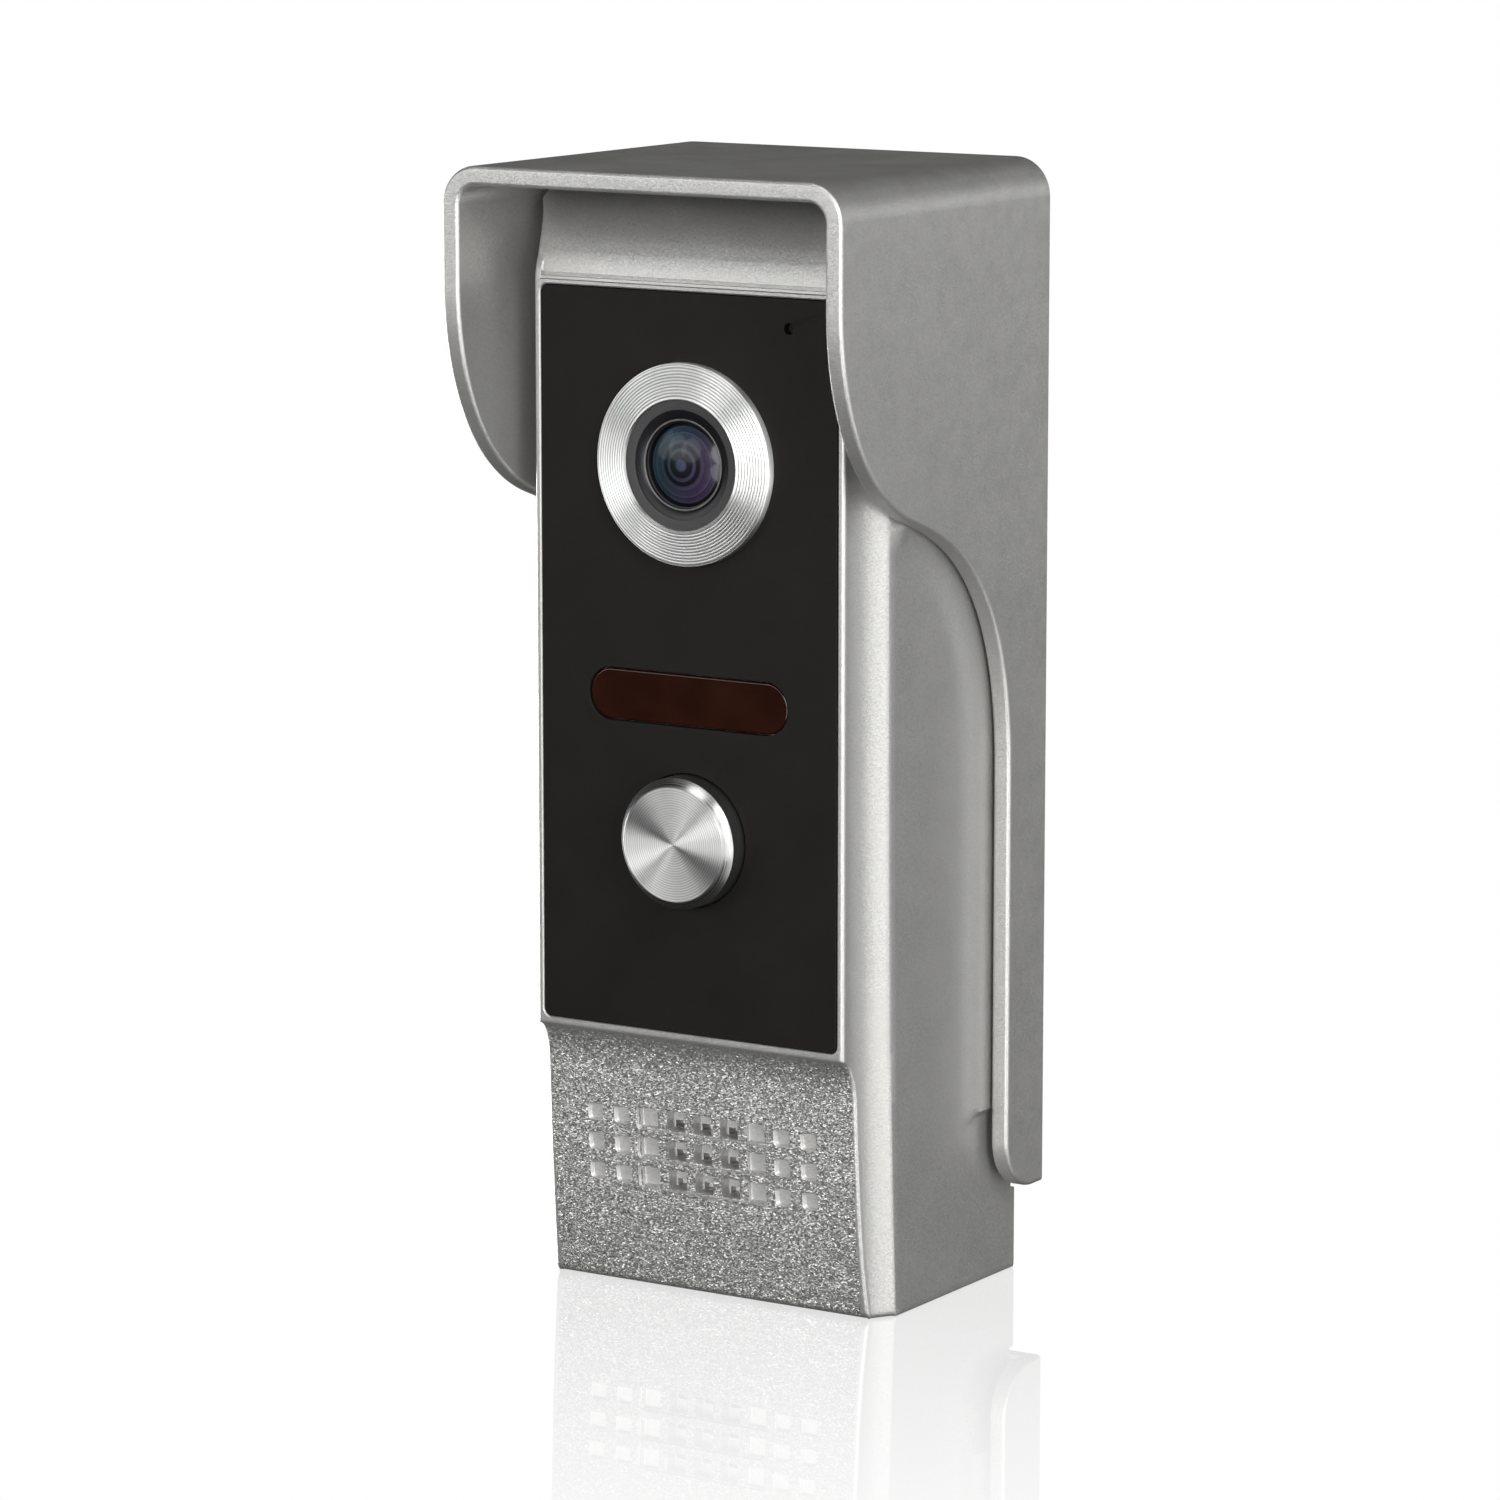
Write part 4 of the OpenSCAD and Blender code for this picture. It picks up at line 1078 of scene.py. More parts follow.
def housing_outside(sizes):
    ridge_r, ramp = sizes.ridge_round / MM, sizes.pad_ramp / MM
    base_r = sizes.base_round / MM
    rings = []
    for i in range(8):
        a = math.pi / 2 * (1 - i / 7)
        h = BASE_H + base_r * (1 - math.sin(a))
        rings.append(housing_ring(h, ridge_r, ramp, inset=base_r * (1 - math.cos(a))))
    levels = list(np.linspace(BASE_H + base_r + 0.6, HOOD_FOOT_H - 0.95, 12))
    levels += list(np.linspace(HOOD_FOOT_H - 0.85, CHIN_TOP_H - 0.4, 20))
    levels += list(np.linspace(CHIN_TOP_H, -LIP_W - 1.4, 14))
    levels += list(np.linspace(-LIP_W - 1.2, -LIP_W + 0.4, 18))
    levels += [0.2, 2.0] + list(np.linspace(4, 28, 9)) + list(np.linspace(30, 66, 46))
    levels += [70, 80, 87, PANEL_H + LIP_W - 0.4]
    rings += [housing_ring(h, ridge_r, ramp) for h in levels]
    arc_top = TOP_H - PANEL_H
    levels = list(np.linspace(PANEL_H + LIP_W - 0.3, PANEL_H + LIP_W + 3, 14))
    levels += [PANEL_H + arc_top * math.sin(math.radians(22 + 68 * i / 18))
               for i in range(1, 19)]
    rings += [housing_ring(h, ridge_r, ramp, crown=True) for h in levels]
    return loft(rings)


def hollow():
    """The room inside the body, open at the back."""
    top = TOP_H - WALL
    r = TOP_H - PANEL_H - 2.2
    levels = [(BASE_H + 2.3, CHIN_SKIN_D), (-2.0, CHIN_SKIN_D), (1.5, SKIN_D), (top - r, SKIN_D)]
    for i in range(1, 9):
        a = math.pi / 2 * i / 8
        levels.append((top - r + r * math.sin(a), SKIN_D + r * (1 - math.cos(a))))
    rings = []
    for h, d in levels:
        half = [(SIDE_X - 4.4, d), (SIDE_X - WALL, d + 4.4), (SIDE_X - WALL, BODY_D + 3)]
        rings.append([(x, depth, h) for x, depth in half]
                     + [(-x, depth, h) for x, depth in half[::-1]])
    return loft(rings)


def pocket_cutter():
    """Place of the face panel, with a small bevel at its mouth."""
    flare = 0.16
    levels = [(-0.5, flare + 0.5), (0.0, flare), (flare, 0.0), (POCKET_D, 0.0)]
    rings = []
    for d, more in levels:
        outline = rounded(PANEL_W / 2 + PANEL_GAP + more, -PANEL_GAP - more,
                          PANEL_H + PANEL_GAP + more, 1.0 + more)
        rings.append([(x, d, h) for x, h in outline])
    return loft(rings)


def soft_cutter(half_w, half_h, r, depth, mouth, floor_r, taper=0.0):
    """Cutter for one opening, centred on the face at depth 0: bevelled mouth, softened floor."""
    levels = [(-0.32, mouth + 0.3), (0.0, mouth), (mouth, 0.0), (depth - floor_r, -taper),
              (depth, -taper - floor_r)]
    rings = []
    for d, more in levels:
        outline = rounded(half_w + more, -half_h - more, half_h + more,
                          max(0.06, r + more * 0.6), steps=4)
        rings.append([(x, d, h) for x, h in outline])
    return at_origin(loft(rings))


def grid_tree():
    """Geometry Nodes: a part repeated on an upright grid that leans with the grille face."""
    tree = bpy.data.node_groups.new("Grille openings", "GeometryNodeTree")
    sockets = {}
    for name, kind, value in (
        ("Geometry", "NodeSocketGeometry", None), ("Part", "NodeSocketObject", None),
        ("Columns", "NodeSocketInt", 9), ("Rows", "NodeSocketInt", 3),
        ("Pitch across", FLOAT, 3.6), ("Pitch up", FLOAT, 3.4),
        ("Nearest", FLOAT, 0.0), ("Furthest", FLOAT, 99.0),
        ("Lean", FLOAT, 0.1), ("Centre", VECTOR, (0, 0, 0)),
        ("Material", "NodeSocketMaterial", None),
    ):
        made = tree.interface.new_socket(name, in_out="INPUT", socket_type=kind)
        if value is not None:
            made.default_value = value
        sockets[name] = made.identifier
    tree.interface.new_socket("Geometry", in_out="OUTPUT", socket_type="NodeSocketGeometry")
    given = node(tree, "NodeGroupInput").outputs
    width = maths(tree, "MULTIPLY", maths(tree, "SUBTRACT", given["Columns"], 1),
                  given["Pitch across"])
    tall = maths(tree, "MULTIPLY", maths(tree, "SUBTRACT", given["Rows"], 1), given["Pitch up"])
    grid = node(tree, "GeometryNodeMeshGrid", {
        "Size X": width, "Size Y": tall, "Vertices X": given["Columns"],
        "Vertices Y": given["Rows"]}).outputs["Mesh"]
    x, y, _ = split(tree, node(tree, "GeometryNodeInputPosition").outputs[0])
    upright = node(tree, "ShaderNodeCombineXYZ", {
        0: x, 1: maths(tree, "MULTIPLY", y, given["Lean"]), 2: y}).outputs[0]
    points = node(tree, "GeometryNodeSetPosition", {
        "Geometry": grid, "Position": vector(tree, "ADD", upright, given["Centre"])}).outputs[0]
    off = maths(tree, "ABSOLUTE", x)
    within = [
        node(tree, "FunctionNodeCompare", {0: off, 1: given[limit]}, operation=test).outputs[0]
        for limit, test in (("Nearest", "GREATER_EQUAL"), ("Furthest", "LESS_EQUAL"))
    ]
    chosen = node(tree, "FunctionNodeBooleanMath", {0: within[0], 1: within[1]},
                  operation="AND").outputs[0]
    part = node(tree, "GeometryNodeObjectInfo", {"Object": given["Part"]}).outputs["Geometry"]
    turn = node(tree, "ShaderNodeCombineXYZ", {
        0: maths(tree, "MULTIPLY", maths(tree, "ARCTANGENT", given["Lean"]), -1)}).outputs[0]
    copies = node(tree, "GeometryNodeInstanceOnPoints", {
        "Points": points, "Selection": chosen, "Instance": part, "Rotation": turn}).outputs[0]
    solid = node(tree, "GeometryNodeRealizeInstances", {"Geometry": copies}).outputs[0]
    dressed = node(tree, "GeometryNodeSetMaterial", {
        "Geometry": solid, "Material": given["Material"]}).outputs[0]
    out = node(tree, "NodeGroupOutput")
    tree.links.new(dressed, out.inputs[0])
    return tree, sockets


def repeated(tree, sockets, part_mesh, **values):
    """Mesh made by the grid tree from one part."""
    part = holder_of(part_mesh)
    base = holder_of(bpy.data.meshes.new("points"))
    modifier = base.modifiers.new("repeat", "NODES")
    modifier.node_group = tree
    modifier[sockets["Part"]] = part
    for name, value in values.items():
        modifier[sockets[name.replace("_", " ")]] = value
    result = evaluated(base)
    bpy.data.objects.remove(base)
    bpy.data.objects.remove(part)
    return result


def grille_cutters(sizes):
    """Cutters of the grille, in two sets whose solids don't touch."""
    tree, sockets = grid_tree()
    pitch_x, pitch_z = sizes.grille_pitch_x / MM, sizes.grille_pitch_z / MM
    slope = (face_depth(GRILLE_H - 4) - face_depth(GRILLE_H + 4)) / 8
    common = {
        "Columns": sizes.grille_columns, "Rows": sizes.grille_rows, "Pitch across": pitch_x,
        # the openings' floors take the brighter copy of the paint, which is painted light
        "Pitch up": pitch_z, "Lean": -slope, "Material": MATERIALS["pocket_paint"],
        "Centre": tuple(place(0, face_depth(GRILLE_H), GRILLE_H)),
    }

    def made(part, nearest, furthest):
        return repeated(tree, sockets, part, Nearest=nearest * pitch_x,
                        Furthest=furthest * pitch_x, **common)

    band_half = 2 * pitch_x + 1.25 + 0.35
    band = soft_cutter(band_half, 1.4, 0.5, 0.3, mouth=0.06, floor_r=0.06)
    dimple = soft_cutter(1.0, 1.02, 0.42, 0.5, mouth=0.1, taper=0.08, floor_r=0.1)
    shallow = soft_cutter(1.25, 1.2, 0.12, 0.85, mouth=0.06, taper=0.06, floor_r=0.1)
    deep = soft_cutter(1.25, 1.2, 0.12, 1.9, mouth=0.06, taper=0.04, floor_r=0.05)
    slit = at_origin(block(-1.0, 1.1, 1.7, CHIN_SKIN_D, -1.1, -0.25))
    first = gather(made(dimple, 2.5, 9), made(band, 0, 0.5))
    second = gather(made(shallow, 1.5, 2.5), made(deep, 0, 1.5))
    return first, second, made(slit, 0, 1.5)


# the third finish, for the grille floors, is a brighter copy of the paint: painted light
HOUSING_FINISHES = ("body_paint", "chin_paint", "pocket_paint")
BODY, CHIN, POCKET = range(3)


def housing_mesh(sizes):
    outside = housing_outside(sizes)
    for finish in HOUSING_FINISHES:
        outside.materials.append(MATERIALS[finish])
    chin_faces(outside)
    mesh = cut(outside, hollow(), pocket_cutter())
    groove_h = PANEL_H + LIP_W
    mesh = cut(
        mesh,
        block(-PANEL_W / 2 + 0.05, PANEL_W / 2 - 0.05, -1, 0.85, groove_h, groove_h + 0.5),
        drum(0, LENS_H, -0.5, SKIN_D + 0.5, LENS_HOLE_R),
        drum(0, BUTTON_H, -0.5, SKIN_D + 0.5, BUTTON_HOLE_R),
        drum(MIC_X, MIC_H, -0.5, SKIN_D + 0.5, MIC_BORE_R, 48),
        plate([rounded(IR_W / 2 - 0.05, IR_H - IR_T / 2 + 0.05, IR_H + IR_T / 2 - 0.05, 3.14,
                       steps=12)], 0, SKIN_D + 0.5),
    )
    mesh = cut(
        mesh, *grille_cutters(sizes),
        upright_drum(-1.3, 0.5, 3, 48, FOOT_SCREW_D, BASE_H),
        upright_drum(-4, 0.1, 1.6, 32, FOOT_SCREW_D, BASE_H),
        block(-TONGUE_SLOT_X, TONGUE_SLOT_X, 30.1, BODY_D + 1, BASE_H + 2.4, BASE_H + 5.0),
    )
    grille_faces(mesh)
    return mesh


def chin_faces(mesh):
    """Gives the chin's front the coarser finish, whose darker colour is painted shade."""
    limit = place(0, 0, -LIP_W - 0.1).z
    for face in mesh.polygons:
        inside = abs(face.center.x) < PANEL_W / 2 + LIP_W - 0.25
        ahead = face.center.y < place(0, 6.0, 0).y
        if inside and ahead and face.center.z < limit and face.normal.y < -0.05:
            face.material_index = CHIN


def grille_faces(mesh):
    """Leaves the smooth, brighter paint, which is painted light, on the floors of the grille
    openings only.
    """
    for face in mesh.polygons:
        if face.material_index != POCKET:
            continue
        below = face.center.y - place(0, face_depth(face.center.z - FOOT_Z), 0).y
        if face.normal.y > -0.8:
            face.material_index = BODY
        elif below < 0.42:
            face.material_index = CHIN


# ---- operators ----


class StationOperator:
    bl_options = {"REGISTER", "UNDO"}

    def execute(self, context):
        self.build(context.scene.station_sizes, context.scene.station_colours)
        return {"FINISHED"}


class STATION_OT_finishes(StationOperator, bpy.types.Operator):
    """Make the procedural finishes that all pieces use"""
    bl_idname = "station.finishes"
    bl_label = "Finishes"

    def build(self, sizes, colours):
        make_materials(colours)


class STATION_OT_rain_hood(StationOperator, bpy.types.Operator):
    """Build the bent rain hood with its back plate"""
    bl_idname = "station.rain_hood"
    bl_label = "Rain hood"

    def build(self, sizes, colours):
        piece("rain_hood_shell", rain_hood_mesh(sizes.rim_round / MM), MATERIALS["hood_paint"],
              "rain_hood", "hood_paint")


class STATION_OT_housing(StationOperator, bpy.types.Operator):
    """Build the front housing with its lip, scoop, grille and side pads"""
    bl_idname = "station.housing"
    bl_label = "Front housing"

    def build(self, sizes, colours):
        piece("housing_shell", housing_mesh(sizes), None, "front_housing", "body_paint")


class STATION_OT_panel(StationOperator, bpy.types.Operator):
    """Build the black face panel and the tape behind it"""
    bl_idname = "station.face_panel"
    bl_label = "Face panel"

    def build(self, sizes, colours):
        outline = rounded(PANEL_W / 2 - PANEL_GAP, PANEL_GAP, PANEL_H - PANEL_GAP, 0.9)
        window = rounded(IR_W / 2, IR_H - IR_T / 2, IR_H + IR_T / 2, IR_T / 2 - 0.01, steps=16)
        holes = [circle(0, LENS_H, LENS_HOLE_R, 96), circle(0, BUTTON_H, BUTTON_R + 0.2, 96),
                 circle(MIC_X, MIC_H, MIC_HOLE_R, 32), window]
        piece("face_panel", plate([outline] + holes, 0, PANEL_T, 0.08),
              MATERIALS["panel_black"], "front_panel", "panel_black")


class STATION_OT_camera(StationOperator, bpy.types.Operator):
    """Build the turned ring and everything of the lens that shows"""
    bl_idname = "station.camera"
    bl_label = "Camera"

    def build(self, sizes, colours):
        pitch, deep = sizes.groove_pitch / MM, sizes.groove_depth / MM
        front, edge = -RING_PROUD, -RING_EDGE
        profile = [(RING_BORE_R, 1.6), (RING_BORE_R, front + 0.12),
                   (RING_BORE_R + 0.04, front + 0.03), (RING_BORE_R + 0.12, front)]
        r = RING_BORE_R + RING_LAND
        while r < RING_R - 0.3:
            wave = 0.5 - 0.5 * math.cos(math.tau * (r - RING_BORE_R - RING_LAND) / pitch)
            across = (r - RING_BORE_R) / (RING_R - RING_BORE_R)
            profile.append((r, front + deep * wave + (edge - front) * across))
            r += pitch / 8
        profile += [(RING_R - 0.22, edge), (RING_R - 0.07, edge + 0.05),
                    (RING_R, edge + 0.16), (RING_R, -0.02), (9.35, -0.02), (9.35, 3.0),
                    (8.5, 3.0), (8.5, 1.6)]
        lens_piece("turned_ring", profile, 160, "turned_aluminium", "camera_ring",
                   "turned_aluminium", weighted=False)
        d = LENS_D
        bezel = [(7.62, d - 0.70), (7.5, d - 0.72), (6.55, d - 0.56), (6.46, d - 0.52),
                 (6.46, d - 0.38), (6.75, d - 0.38), (6.75, 3.4), (8.4, 3.4), (8.4, 1.65),
                 (7.62, 1.65)]
        lens_piece("bezel", bezel, 128, "bezel_grey", "lens_bezel", "bezel_grey")
        barrel = [(5.75, d - 0.2), (6.3, d - 0.32), (6.62, d - 0.35), (6.7, d - 0.28), (6.7, 5),
                  (6, 5), (6, 13), (4.9, 13), (4.9, 10.2), (3.4, 10.2), (3.4, 4.6), (4.9, 4.0),
                  (4.9, d + 0.25), (4.98, d + 0.12), (5.12, d + 0.08), (5.16, d - 0.22),
                  (5.22, d - 0.3), (5.36, d - 0.24), (5.45, d - 0.05)]
        lens_piece("barrel", barrel, 128, "barrel_black", "lens_barrel", "barrel_black")
        # a lighter grey ring on the barrel's lip: painted glint
        glint = [(5.17, d - 0.25), (5.22, d - 0.32), (5.3, d - 0.35), (5.38, d - 0.27),
                 (5.3, d - 0.15)]
        lens_piece("barrel_bright_ring", glint, 128, "dull_ring", "lens_barrel", "barrel_black")
        for name, profile, steps, finish, replaced in (
            ("front_glass", dome(4.85, 11.0, d - 0.65, 0.3), 96, "coated_lens",
             "lens_front_glass"),
            ("lens_rings", lens_steps(d), 96, "coated_lens", "lens_front_glass"),
            ("lens_core", dome(1.55, 1.9, d - 0.25, 0.9), 64, "core_glass", "lens_front_glass"),
            ("inner_lens", dome(3.35, 4.6, 1.15, 1.2), 96, "core_glass", "lens_rear_glass"),
        ):
            lens_piece(name, profile, steps, finish, replaced, "lens_glass")


def lens_piece(name, profile, steps, finish, replaced, slot, **settings):
    """Piece turned round the camera's axis."""
    piece(name, turned(profile, 0, LENS_H, steps), MATERIALS[finish], replaced, slot, **settings)


def dome(radius, cap_r, front, thick, steps=14):
    """Meniscus lens: a domed front of the given cap radius, and a flatter back."""
    full = math.asin(radius / cap_r)
    outer = [(cap_r * math.sin(full * i / steps),
              front + cap_r * (1 - math.cos(full * i / steps))) for i in range(steps + 1)]
    edge = outer[-1][1] + thick * 0.6
    inner = [(radius * (1 - i / steps),
              front + thick + (edge - front - thick) * (1 - i / steps) ** 2)
             for i in range(steps + 1)]
    return outer + inner


def lens_steps(d):
    """Stepped rings that close in behind the front glass, down to the inner lens."""
    front = [(4.84, 0.95), (4.5, 0.9), (4.42, 0.62), (3.8, 0.48), (3.7, 0.62), (3.02, 0.5),
             (2.92, 0.26), (2.5, 0.2), (2.42, 0.6), (1.95, 0.55), (1.88, 0.12), (1.6, 0.1),
             (1.55, 0.35)]
    return [(r, d + depth) for r, depth in front] + [(1.55, 4.2), (4.84, 4.2)]


class STATION_OT_infrared(StationOperator, bpy.types.Operator):
    """Build the dark red window of the infrared lamps"""
    bl_idname = "station.infrared"
    bl_label = "Infrared window"

    def build(self, sizes, colours):
        half, tall = IR_W / 2 - 0.15, IR_T / 2 - 0.15
        front = plate([rounded(half, IR_H - tall, IR_H + tall, tall - 0.01, steps=20)],
                      0.2, SKIN_D + 0.1, 0.22)
        flange = plate([rounded(half + 0.85, IR_H - tall - 0.85, IR_H + tall + 0.85,
                                tall + 0.84, steps=20)], SKIN_D + 0.05, SKIN_D + 1, 0.1)
        piece("infrared_lens", unite(front, flange), MATERIALS["ir_red"], "infrared_window",
              "ir_red")


class STATION_OT_button(StationOperator, bpy.types.Operator):
    """Build the spun metal call button"""
    bl_idname = "station.call_button"
    bl_label = "Call button"

    def build(self, sizes, colours):
        pitch, deep = sizes.spin_pitch / MM, sizes.spin_depth / MM
        face_d = -BUTTON_PROUD
        face_r = BUTTON_R - 1.0
        profile = [(0, face_d)]
        r = pitch / 5
        while r < face_r - 0.1:
            wave = 0.5 - 0.5 * math.cos(math.tau * r / pitch)
            profile.append((r, face_d + deep * wave))
            r += pitch / 5
        profile += [(face_r, face_d), (face_r + 0.05, face_d + 0.03),
                    (BUTTON_R - 0.06, face_d + 0.93), (BUTTON_R, face_d + 1.03),
                    (BUTTON_R, 2.5), (BUTTON_R - 0.1, 2.6), (6.2, 2.6), (6.2, 0.6), (2, 0.6),
                    (2, 6.55), (1.5, 6.55), (1.5, 7.25), (2, 7.25), (2, 11.85), (1.85, 12),
                    (0, 12)]
        mesh = turned(profile, 0, BUTTON_H, 160)
        # faces off the front take the darker copy of the metal, which is painted shade
        limit = place(0, face_d + 0.02, 0).y
        marks = [0 if all(mesh.vertices[v].co.y < limit for v in p.vertices) else 1
                 for p in mesh.polygons]
        mesh.polygons.foreach_set("material_index", marks)
        piece("spun_button", mesh, [MATERIALS["button_metal"], MATERIALS["button_bevel"]],
              "button_cap", "button_metal", body="call_button", weighted=False, sharp=25)


class STATION_OT_rear(StationOperator, bpy.types.Operator):
    """Build the back cover and the cable grommet"""
    bl_idname = "station.rear"
    bl_label = "Back cover and grommet"

    def build(self, sizes, colours):
        half = SIDE_X - WALL - 0.1
        d0, d1 = extent("back_cover")[2:4]
        outline = rounded(half, extent("back_cover")[4], extent("back_cover")[5], 1.5)
        holes = [circle(0, CABLE_H, 6, 64)]
        for x in (-HOOK_X, HOOK_X):
            holes.append(rounded(2.8, 81.4, 85.7, 0.2, x, 3))
        holes += [circle(x, h, 1.4, 32) for x, h in COVER_SCREWS]
        cover = plate([outline] + holes, d0, d1, 0.15)
        for s in (-1, 1):
            cover = cut(cover, drum(0, ORIGIN_H + s * SCREW_PITCH / 2, d1 - 1, d1 + 1, 5, 64))
        for x, h in COVER_SCREWS:
            cover = cut(cover, drum(x, h, d1 - 0.9, d1 + 1, 2.5, 48))
        cover = cut(cover, block(-TONGUE_SLOT_X, TONGUE_SLOT_X, d0 - 1, d1 + 1, BASE_H,
                                 BASE_H + 4.7))
        piece("rear_cover", cover, MATERIALS["black_plastic"], "back_cover", "black_plastic")
        d_in = d0 - 1.3
        d_out = BODY_D - 0.6
        profile = [(3.5, d_in + 0.3), (3.8, d_in), (7.1, d_in), (7.4, d_in + 0.3), (7.4, d0 - 0.03),
                   (5.95, d0 - 0.03), (5.95, d1 + 0.03), (7.4, d1 + 0.03), (7.4, d_out - 0.25),
                   (7.15, d_out), (5.6, d_out), (5.3, d_out - 0.3), (4.7, d_out - 0.3),
                   (4.4, d_out), (3.8, d_out), (3.5, d_out - 0.3)]
        piece("grommet", turned(profile, 0, CABLE_H, 96), MATERIALS["rubber_black"],
              "cable_grommet", "rubber_black")


INNER_FINISHES = {
    "rubber_black": ("housing_seal", "microphone_boot", "speaker_gasket"),
    "foam_tape": ("panel_adhesive",),
    "black_plastic": ("lens_holder", "button_bush", "switch_body"),
    "sensor_glass": ("image_sensor",),
    "circuit_green": ("camera_board", "infrared_board", "main_board"),
    "lamp_clear": ("infrared_lamps",),
    "sensor_ceramic": ("light_sensor",),
    "spring_steel": ("button_spring", "button_clip"),
    "white_plastic": ("switch_plunger", "volume_rotor", "cable_socket"),
    "speaker_steel": ("microphone", "speaker_frame"),
    "cone_paper": ("speaker_cone",),
    "magnet_iron": ("speaker_magnet",),
    "cloth_white": ("speaker_cloth",),
    "component_black": ("board_components",),
    "blue_plastic": ("volume_body",),
    "brass_pin": ("socket_pins",),
    "ribbon_film": ("camera_ribbon",),
    "lead_red": ("speaker_leads",),
    "zinc_steel": ("housing_screws", "board_screws", "hood_screw"),
}


class STATION_OT_inside(StationOperator, bpy.types.Operator):
    """Dress the inner parts that keep their CAD shape"""
    bl_idname = "station.inside"
    bl_label = "Inner parts"

    def build(self, sizes, colours):
        for finish, names in INNER_FINISHES.items():
            for name in names:
                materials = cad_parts[name].data.materials
                materials.clear()
                materials.append(MATERIALS[finish])


# ---- stage ----


LAMP_DISTANCE = 0.9
LAMP_WIDTH = 0.42


LAMPS = (  # name, azimuth and elevation in degrees, power in watts
    ("front", 20, 12, 4.45), ("front_low", 20, -12, 2.9), ("front_high", 0, 64, 2.6),
    ("right_high", 60, 38, 4.1), ("right", 60, 12, 2.3), ("right_low", 60, -12, 1.5),
    ("right_side_low", 80, -12, 1.4), ("right_under", 80, -38, 0.8),
    ("right_back", 120, -12, 0.5), ("right_rear", 140, 12, 0.7), ("back", 180, 12, 0.6),
    ("left_near", -20, 12, 1.2), ("left", -40, 12, 1.1), ("left_far", -60, 12, 0.7),
    ("left_side_low", -100, -12, 6.0),
)
CAMERA_AZIMUTH = 32.29
CAMERA_ELEVATION = 9.771
CAMERA_DISTANCE = 713.17
CAMERA_LENS = 147.07
CAMERA_TARGET = (8.645, 0, 34.897)


def aimed(name, data, azimuth, elevation, distance):
    """Lamp or camera that looks at the camera's target from a direction and a distance."""
    a, e = math.radians(azimuth), math.radians(elevation)
    back = Vector((math.sin(a) * math.cos(e), -math.cos(a) * math.cos(e), math.sin(e)))
    obj = bpy.data.objects.new(name, data)
    bpy.context.scene.collection.objects.link(obj)
    obj.location = place(*CAMERA_TARGET) * MM + back * distance
    obj.rotation_mode = "QUATERNION"
    obj.rotation_quaternion = (-back).to_track_quat("-Z", "Y")
    return obj


def softbox(name, azimuth, elevation, power):
    """Round soft light that the camera doesn't see."""
    data = bpy.data.lights.new(name, "AREA")
    data.shape, data.size = "DISK", LAMP_WIDTH
    data.energy = power
    aimed(name, data, azimuth, elevation, LAMP_DISTANCE).visible_camera = False


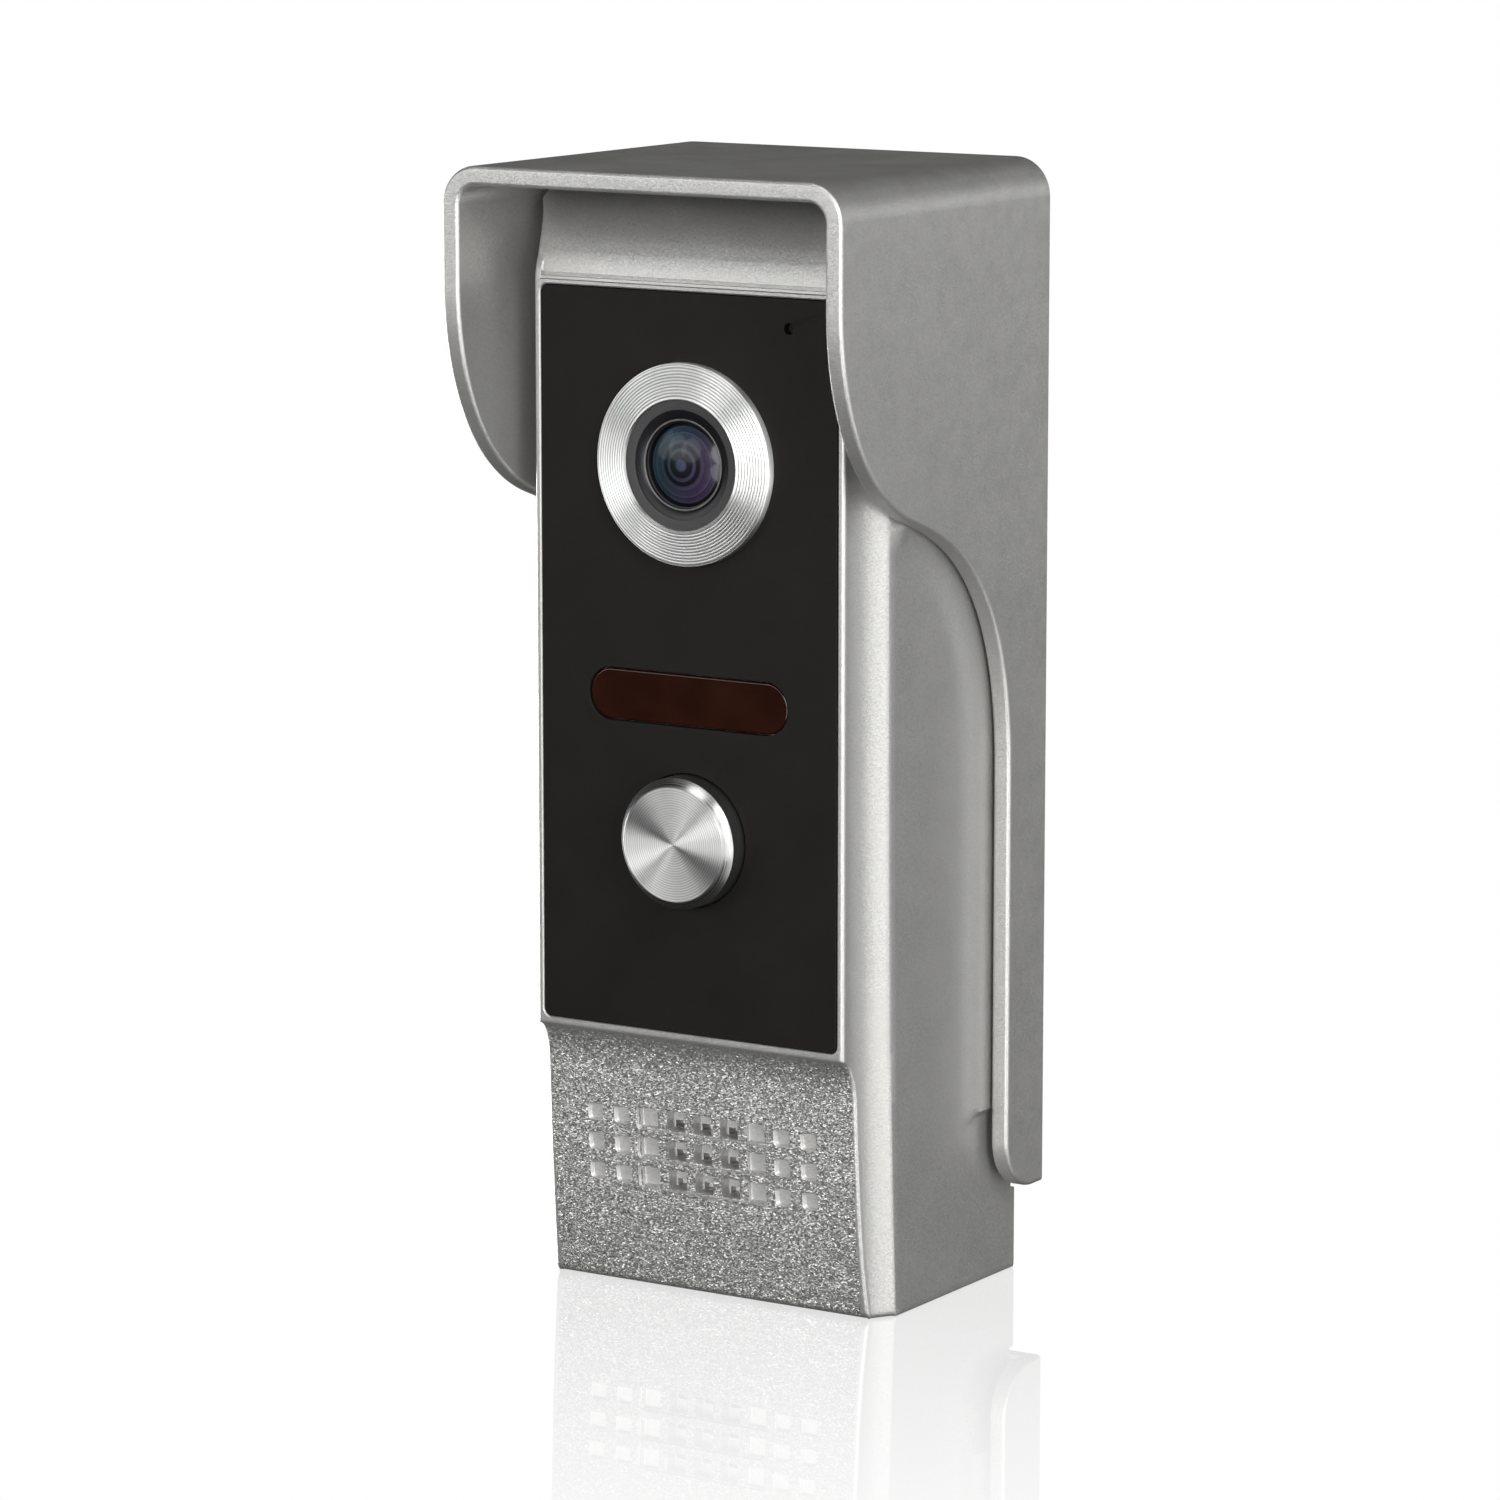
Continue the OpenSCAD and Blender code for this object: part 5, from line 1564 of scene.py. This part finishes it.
class STATION_OT_stage(StationOperator, bpy.types.Operator):
    """Add the pale floor, the soft lights and the camera"""
    bl_idname = "station.stage"
    bl_label = "Stage"

    def build(self, sizes, colours):
        scene = bpy.context.scene
        scene.view_settings.view_transform = "Standard"
        self.floor(place(0, 0, BASE_H).z * MM)
        self.world(scene)
        for lamp in LAMPS:
            softbox(*lamp)
        data = bpy.data.cameras.new("camera")
        data.lens, data.sensor_width = CAMERA_LENS, 36.0
        scene.camera = aimed("camera", data, CAMERA_AZIMUTH, CAMERA_ELEVATION,
                             CAMERA_DISTANCE * MM)

    def floor(self, level):
        """White floor that mirrors the foot of the body a little, in front of it."""
        bm = bmesh.new()
        bmesh.ops.create_grid(bm, x_segments=24, y_segments=24, size=3.0)
        mesh = blank_mesh(bm, "floor")
        mesh.transform(Matrix.Translation((0, 0, level)))
        floor = bpy.data.objects.new("floor", mesh)
        bpy.context.scene.collection.objects.link(floor)
        paper = bpy.data.materials.new("stage_paper")
        paper.use_nodes = True
        tree = paper.node_tree
        tree.nodes.clear()
        a = math.radians(CAMERA_AZIMUTH)
        toward = vector(tree, "DOT_PRODUCT", spot(tree), (math.sin(a), -math.cos(a), 0))
        fade = spread(tree, toward, 0.03, 0.16, 0.30, 0.0)
        grain = group(tree, "tone", Size=20 * MM, Low=0.97, High=1.0).outputs["Value"]
        matt = node(tree, "ShaderNodeBsdfDiffuse", {
            "Color": mix(tree, grain, (0.5, 0.5, 0.5, 1), (0.62, 0.62, 0.62, 1))}).outputs[0]
        glow = node(tree, "ShaderNodeEmission", {"Color": (1, 1, 1, 1), "Strength": 1.0}).outputs[0]
        mirror = node(tree, "ShaderNodeBsdfGlossy", {
            "Color": (1, 1, 1, 1), "Roughness": 0.0}).outputs[0]
        seen = node(tree, "ShaderNodeMixShader", {0: fade, 1: glow, 2: mirror}).outputs[0]
        path = node(tree, "ShaderNodeLightPath").outputs["Is Camera Ray"]
        both = node(tree, "ShaderNodeMixShader", {0: path, 1: matt, 2: seen}).outputs[0]
        node(tree, "ShaderNodeOutputMaterial", {"Surface": both})
        mesh.materials.append(paper)
        floor.visible_diffuse = floor.visible_glossy = False
        floor.visible_transmission = floor.visible_shadow = False

    def world(self, scene):
        """White studio, with dimmer walls as the object sees them."""
        world = bpy.data.worlds.new("studio")
        scene.world = world
        world.use_nodes = True
        tree = world.node_tree
        tree.nodes.clear()
        path = node(tree, "ShaderNodeLightPath").outputs
        bright = maths(tree, "MAXIMUM", path["Is Camera Ray"], path["Is Singular Ray"])
        white = node(tree, "ShaderNodeBackground", {"Color": (1, 1, 1, 1), "Strength": 1.0})
        way = node(tree, "ShaderNodeTexCoord").outputs["Generated"]
        level = spread(tree, split(tree, way)[1], -1.0, 1.0, 0.04, 0.02)
        wall = node(tree, "ShaderNodeBackground", {"Color": (1, 1, 1, 1), "Strength": level})
        both = node(tree, "ShaderNodeMixShader", {
            0: bright, 1: wall.outputs[0], 2: white.outputs[0]}).outputs[0]
        node(tree, "ShaderNodeOutputWorld", {"Surface": both})


class STATION_PT_panel(bpy.types.Panel):
    """Sidebar panel with the build steps and the settings"""
    bl_idname = "STATION_PT_panel"
    bl_label = "Door station"
    bl_space_type = "VIEW_3D"
    bl_region_type = "UI"
    bl_category = "Door station"

    def draw(self, context):
        layout = self.layout
        for operator in OPERATORS:
            layout.operator(operator.bl_idname)
        for settings in (context.scene.station_sizes, context.scene.station_colours):
            for name in settings.__annotations__:
                layout.prop(settings, name)


OPERATORS = (
    STATION_OT_finishes, STATION_OT_rain_hood, STATION_OT_housing, STATION_OT_panel,
    STATION_OT_camera, STATION_OT_infrared, STATION_OT_button, STATION_OT_rear,
    STATION_OT_inside, STATION_OT_stage,
)
CLASSES = (StationSizes, StationColours) + OPERATORS + (STATION_PT_panel,)


def register():
    for cls in CLASSES:
        bpy.utils.register_class(cls)
    bpy.types.Scene.station_sizes = PointerProperty(type=StationSizes)
    bpy.types.Scene.station_colours = PointerProperty(type=StationColours)


def unregister():
    del bpy.types.Scene.station_sizes
    del bpy.types.Scene.station_colours
    for cls in reversed(CLASSES):
        bpy.utils.unregister_class(cls)


def main():
    register()
    bpy.ops.station.finishes()
    bpy.ops.station.rain_hood()
    bpy.ops.station.housing()
    bpy.ops.station.face_panel()
    bpy.ops.station.camera()
    bpy.ops.station.infrared()
    bpy.ops.station.call_button()
    bpy.ops.station.rear()
    bpy.ops.station.inside()
    bpy.ops.station.stage()
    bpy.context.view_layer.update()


if __name__ == "__main__":
    main()
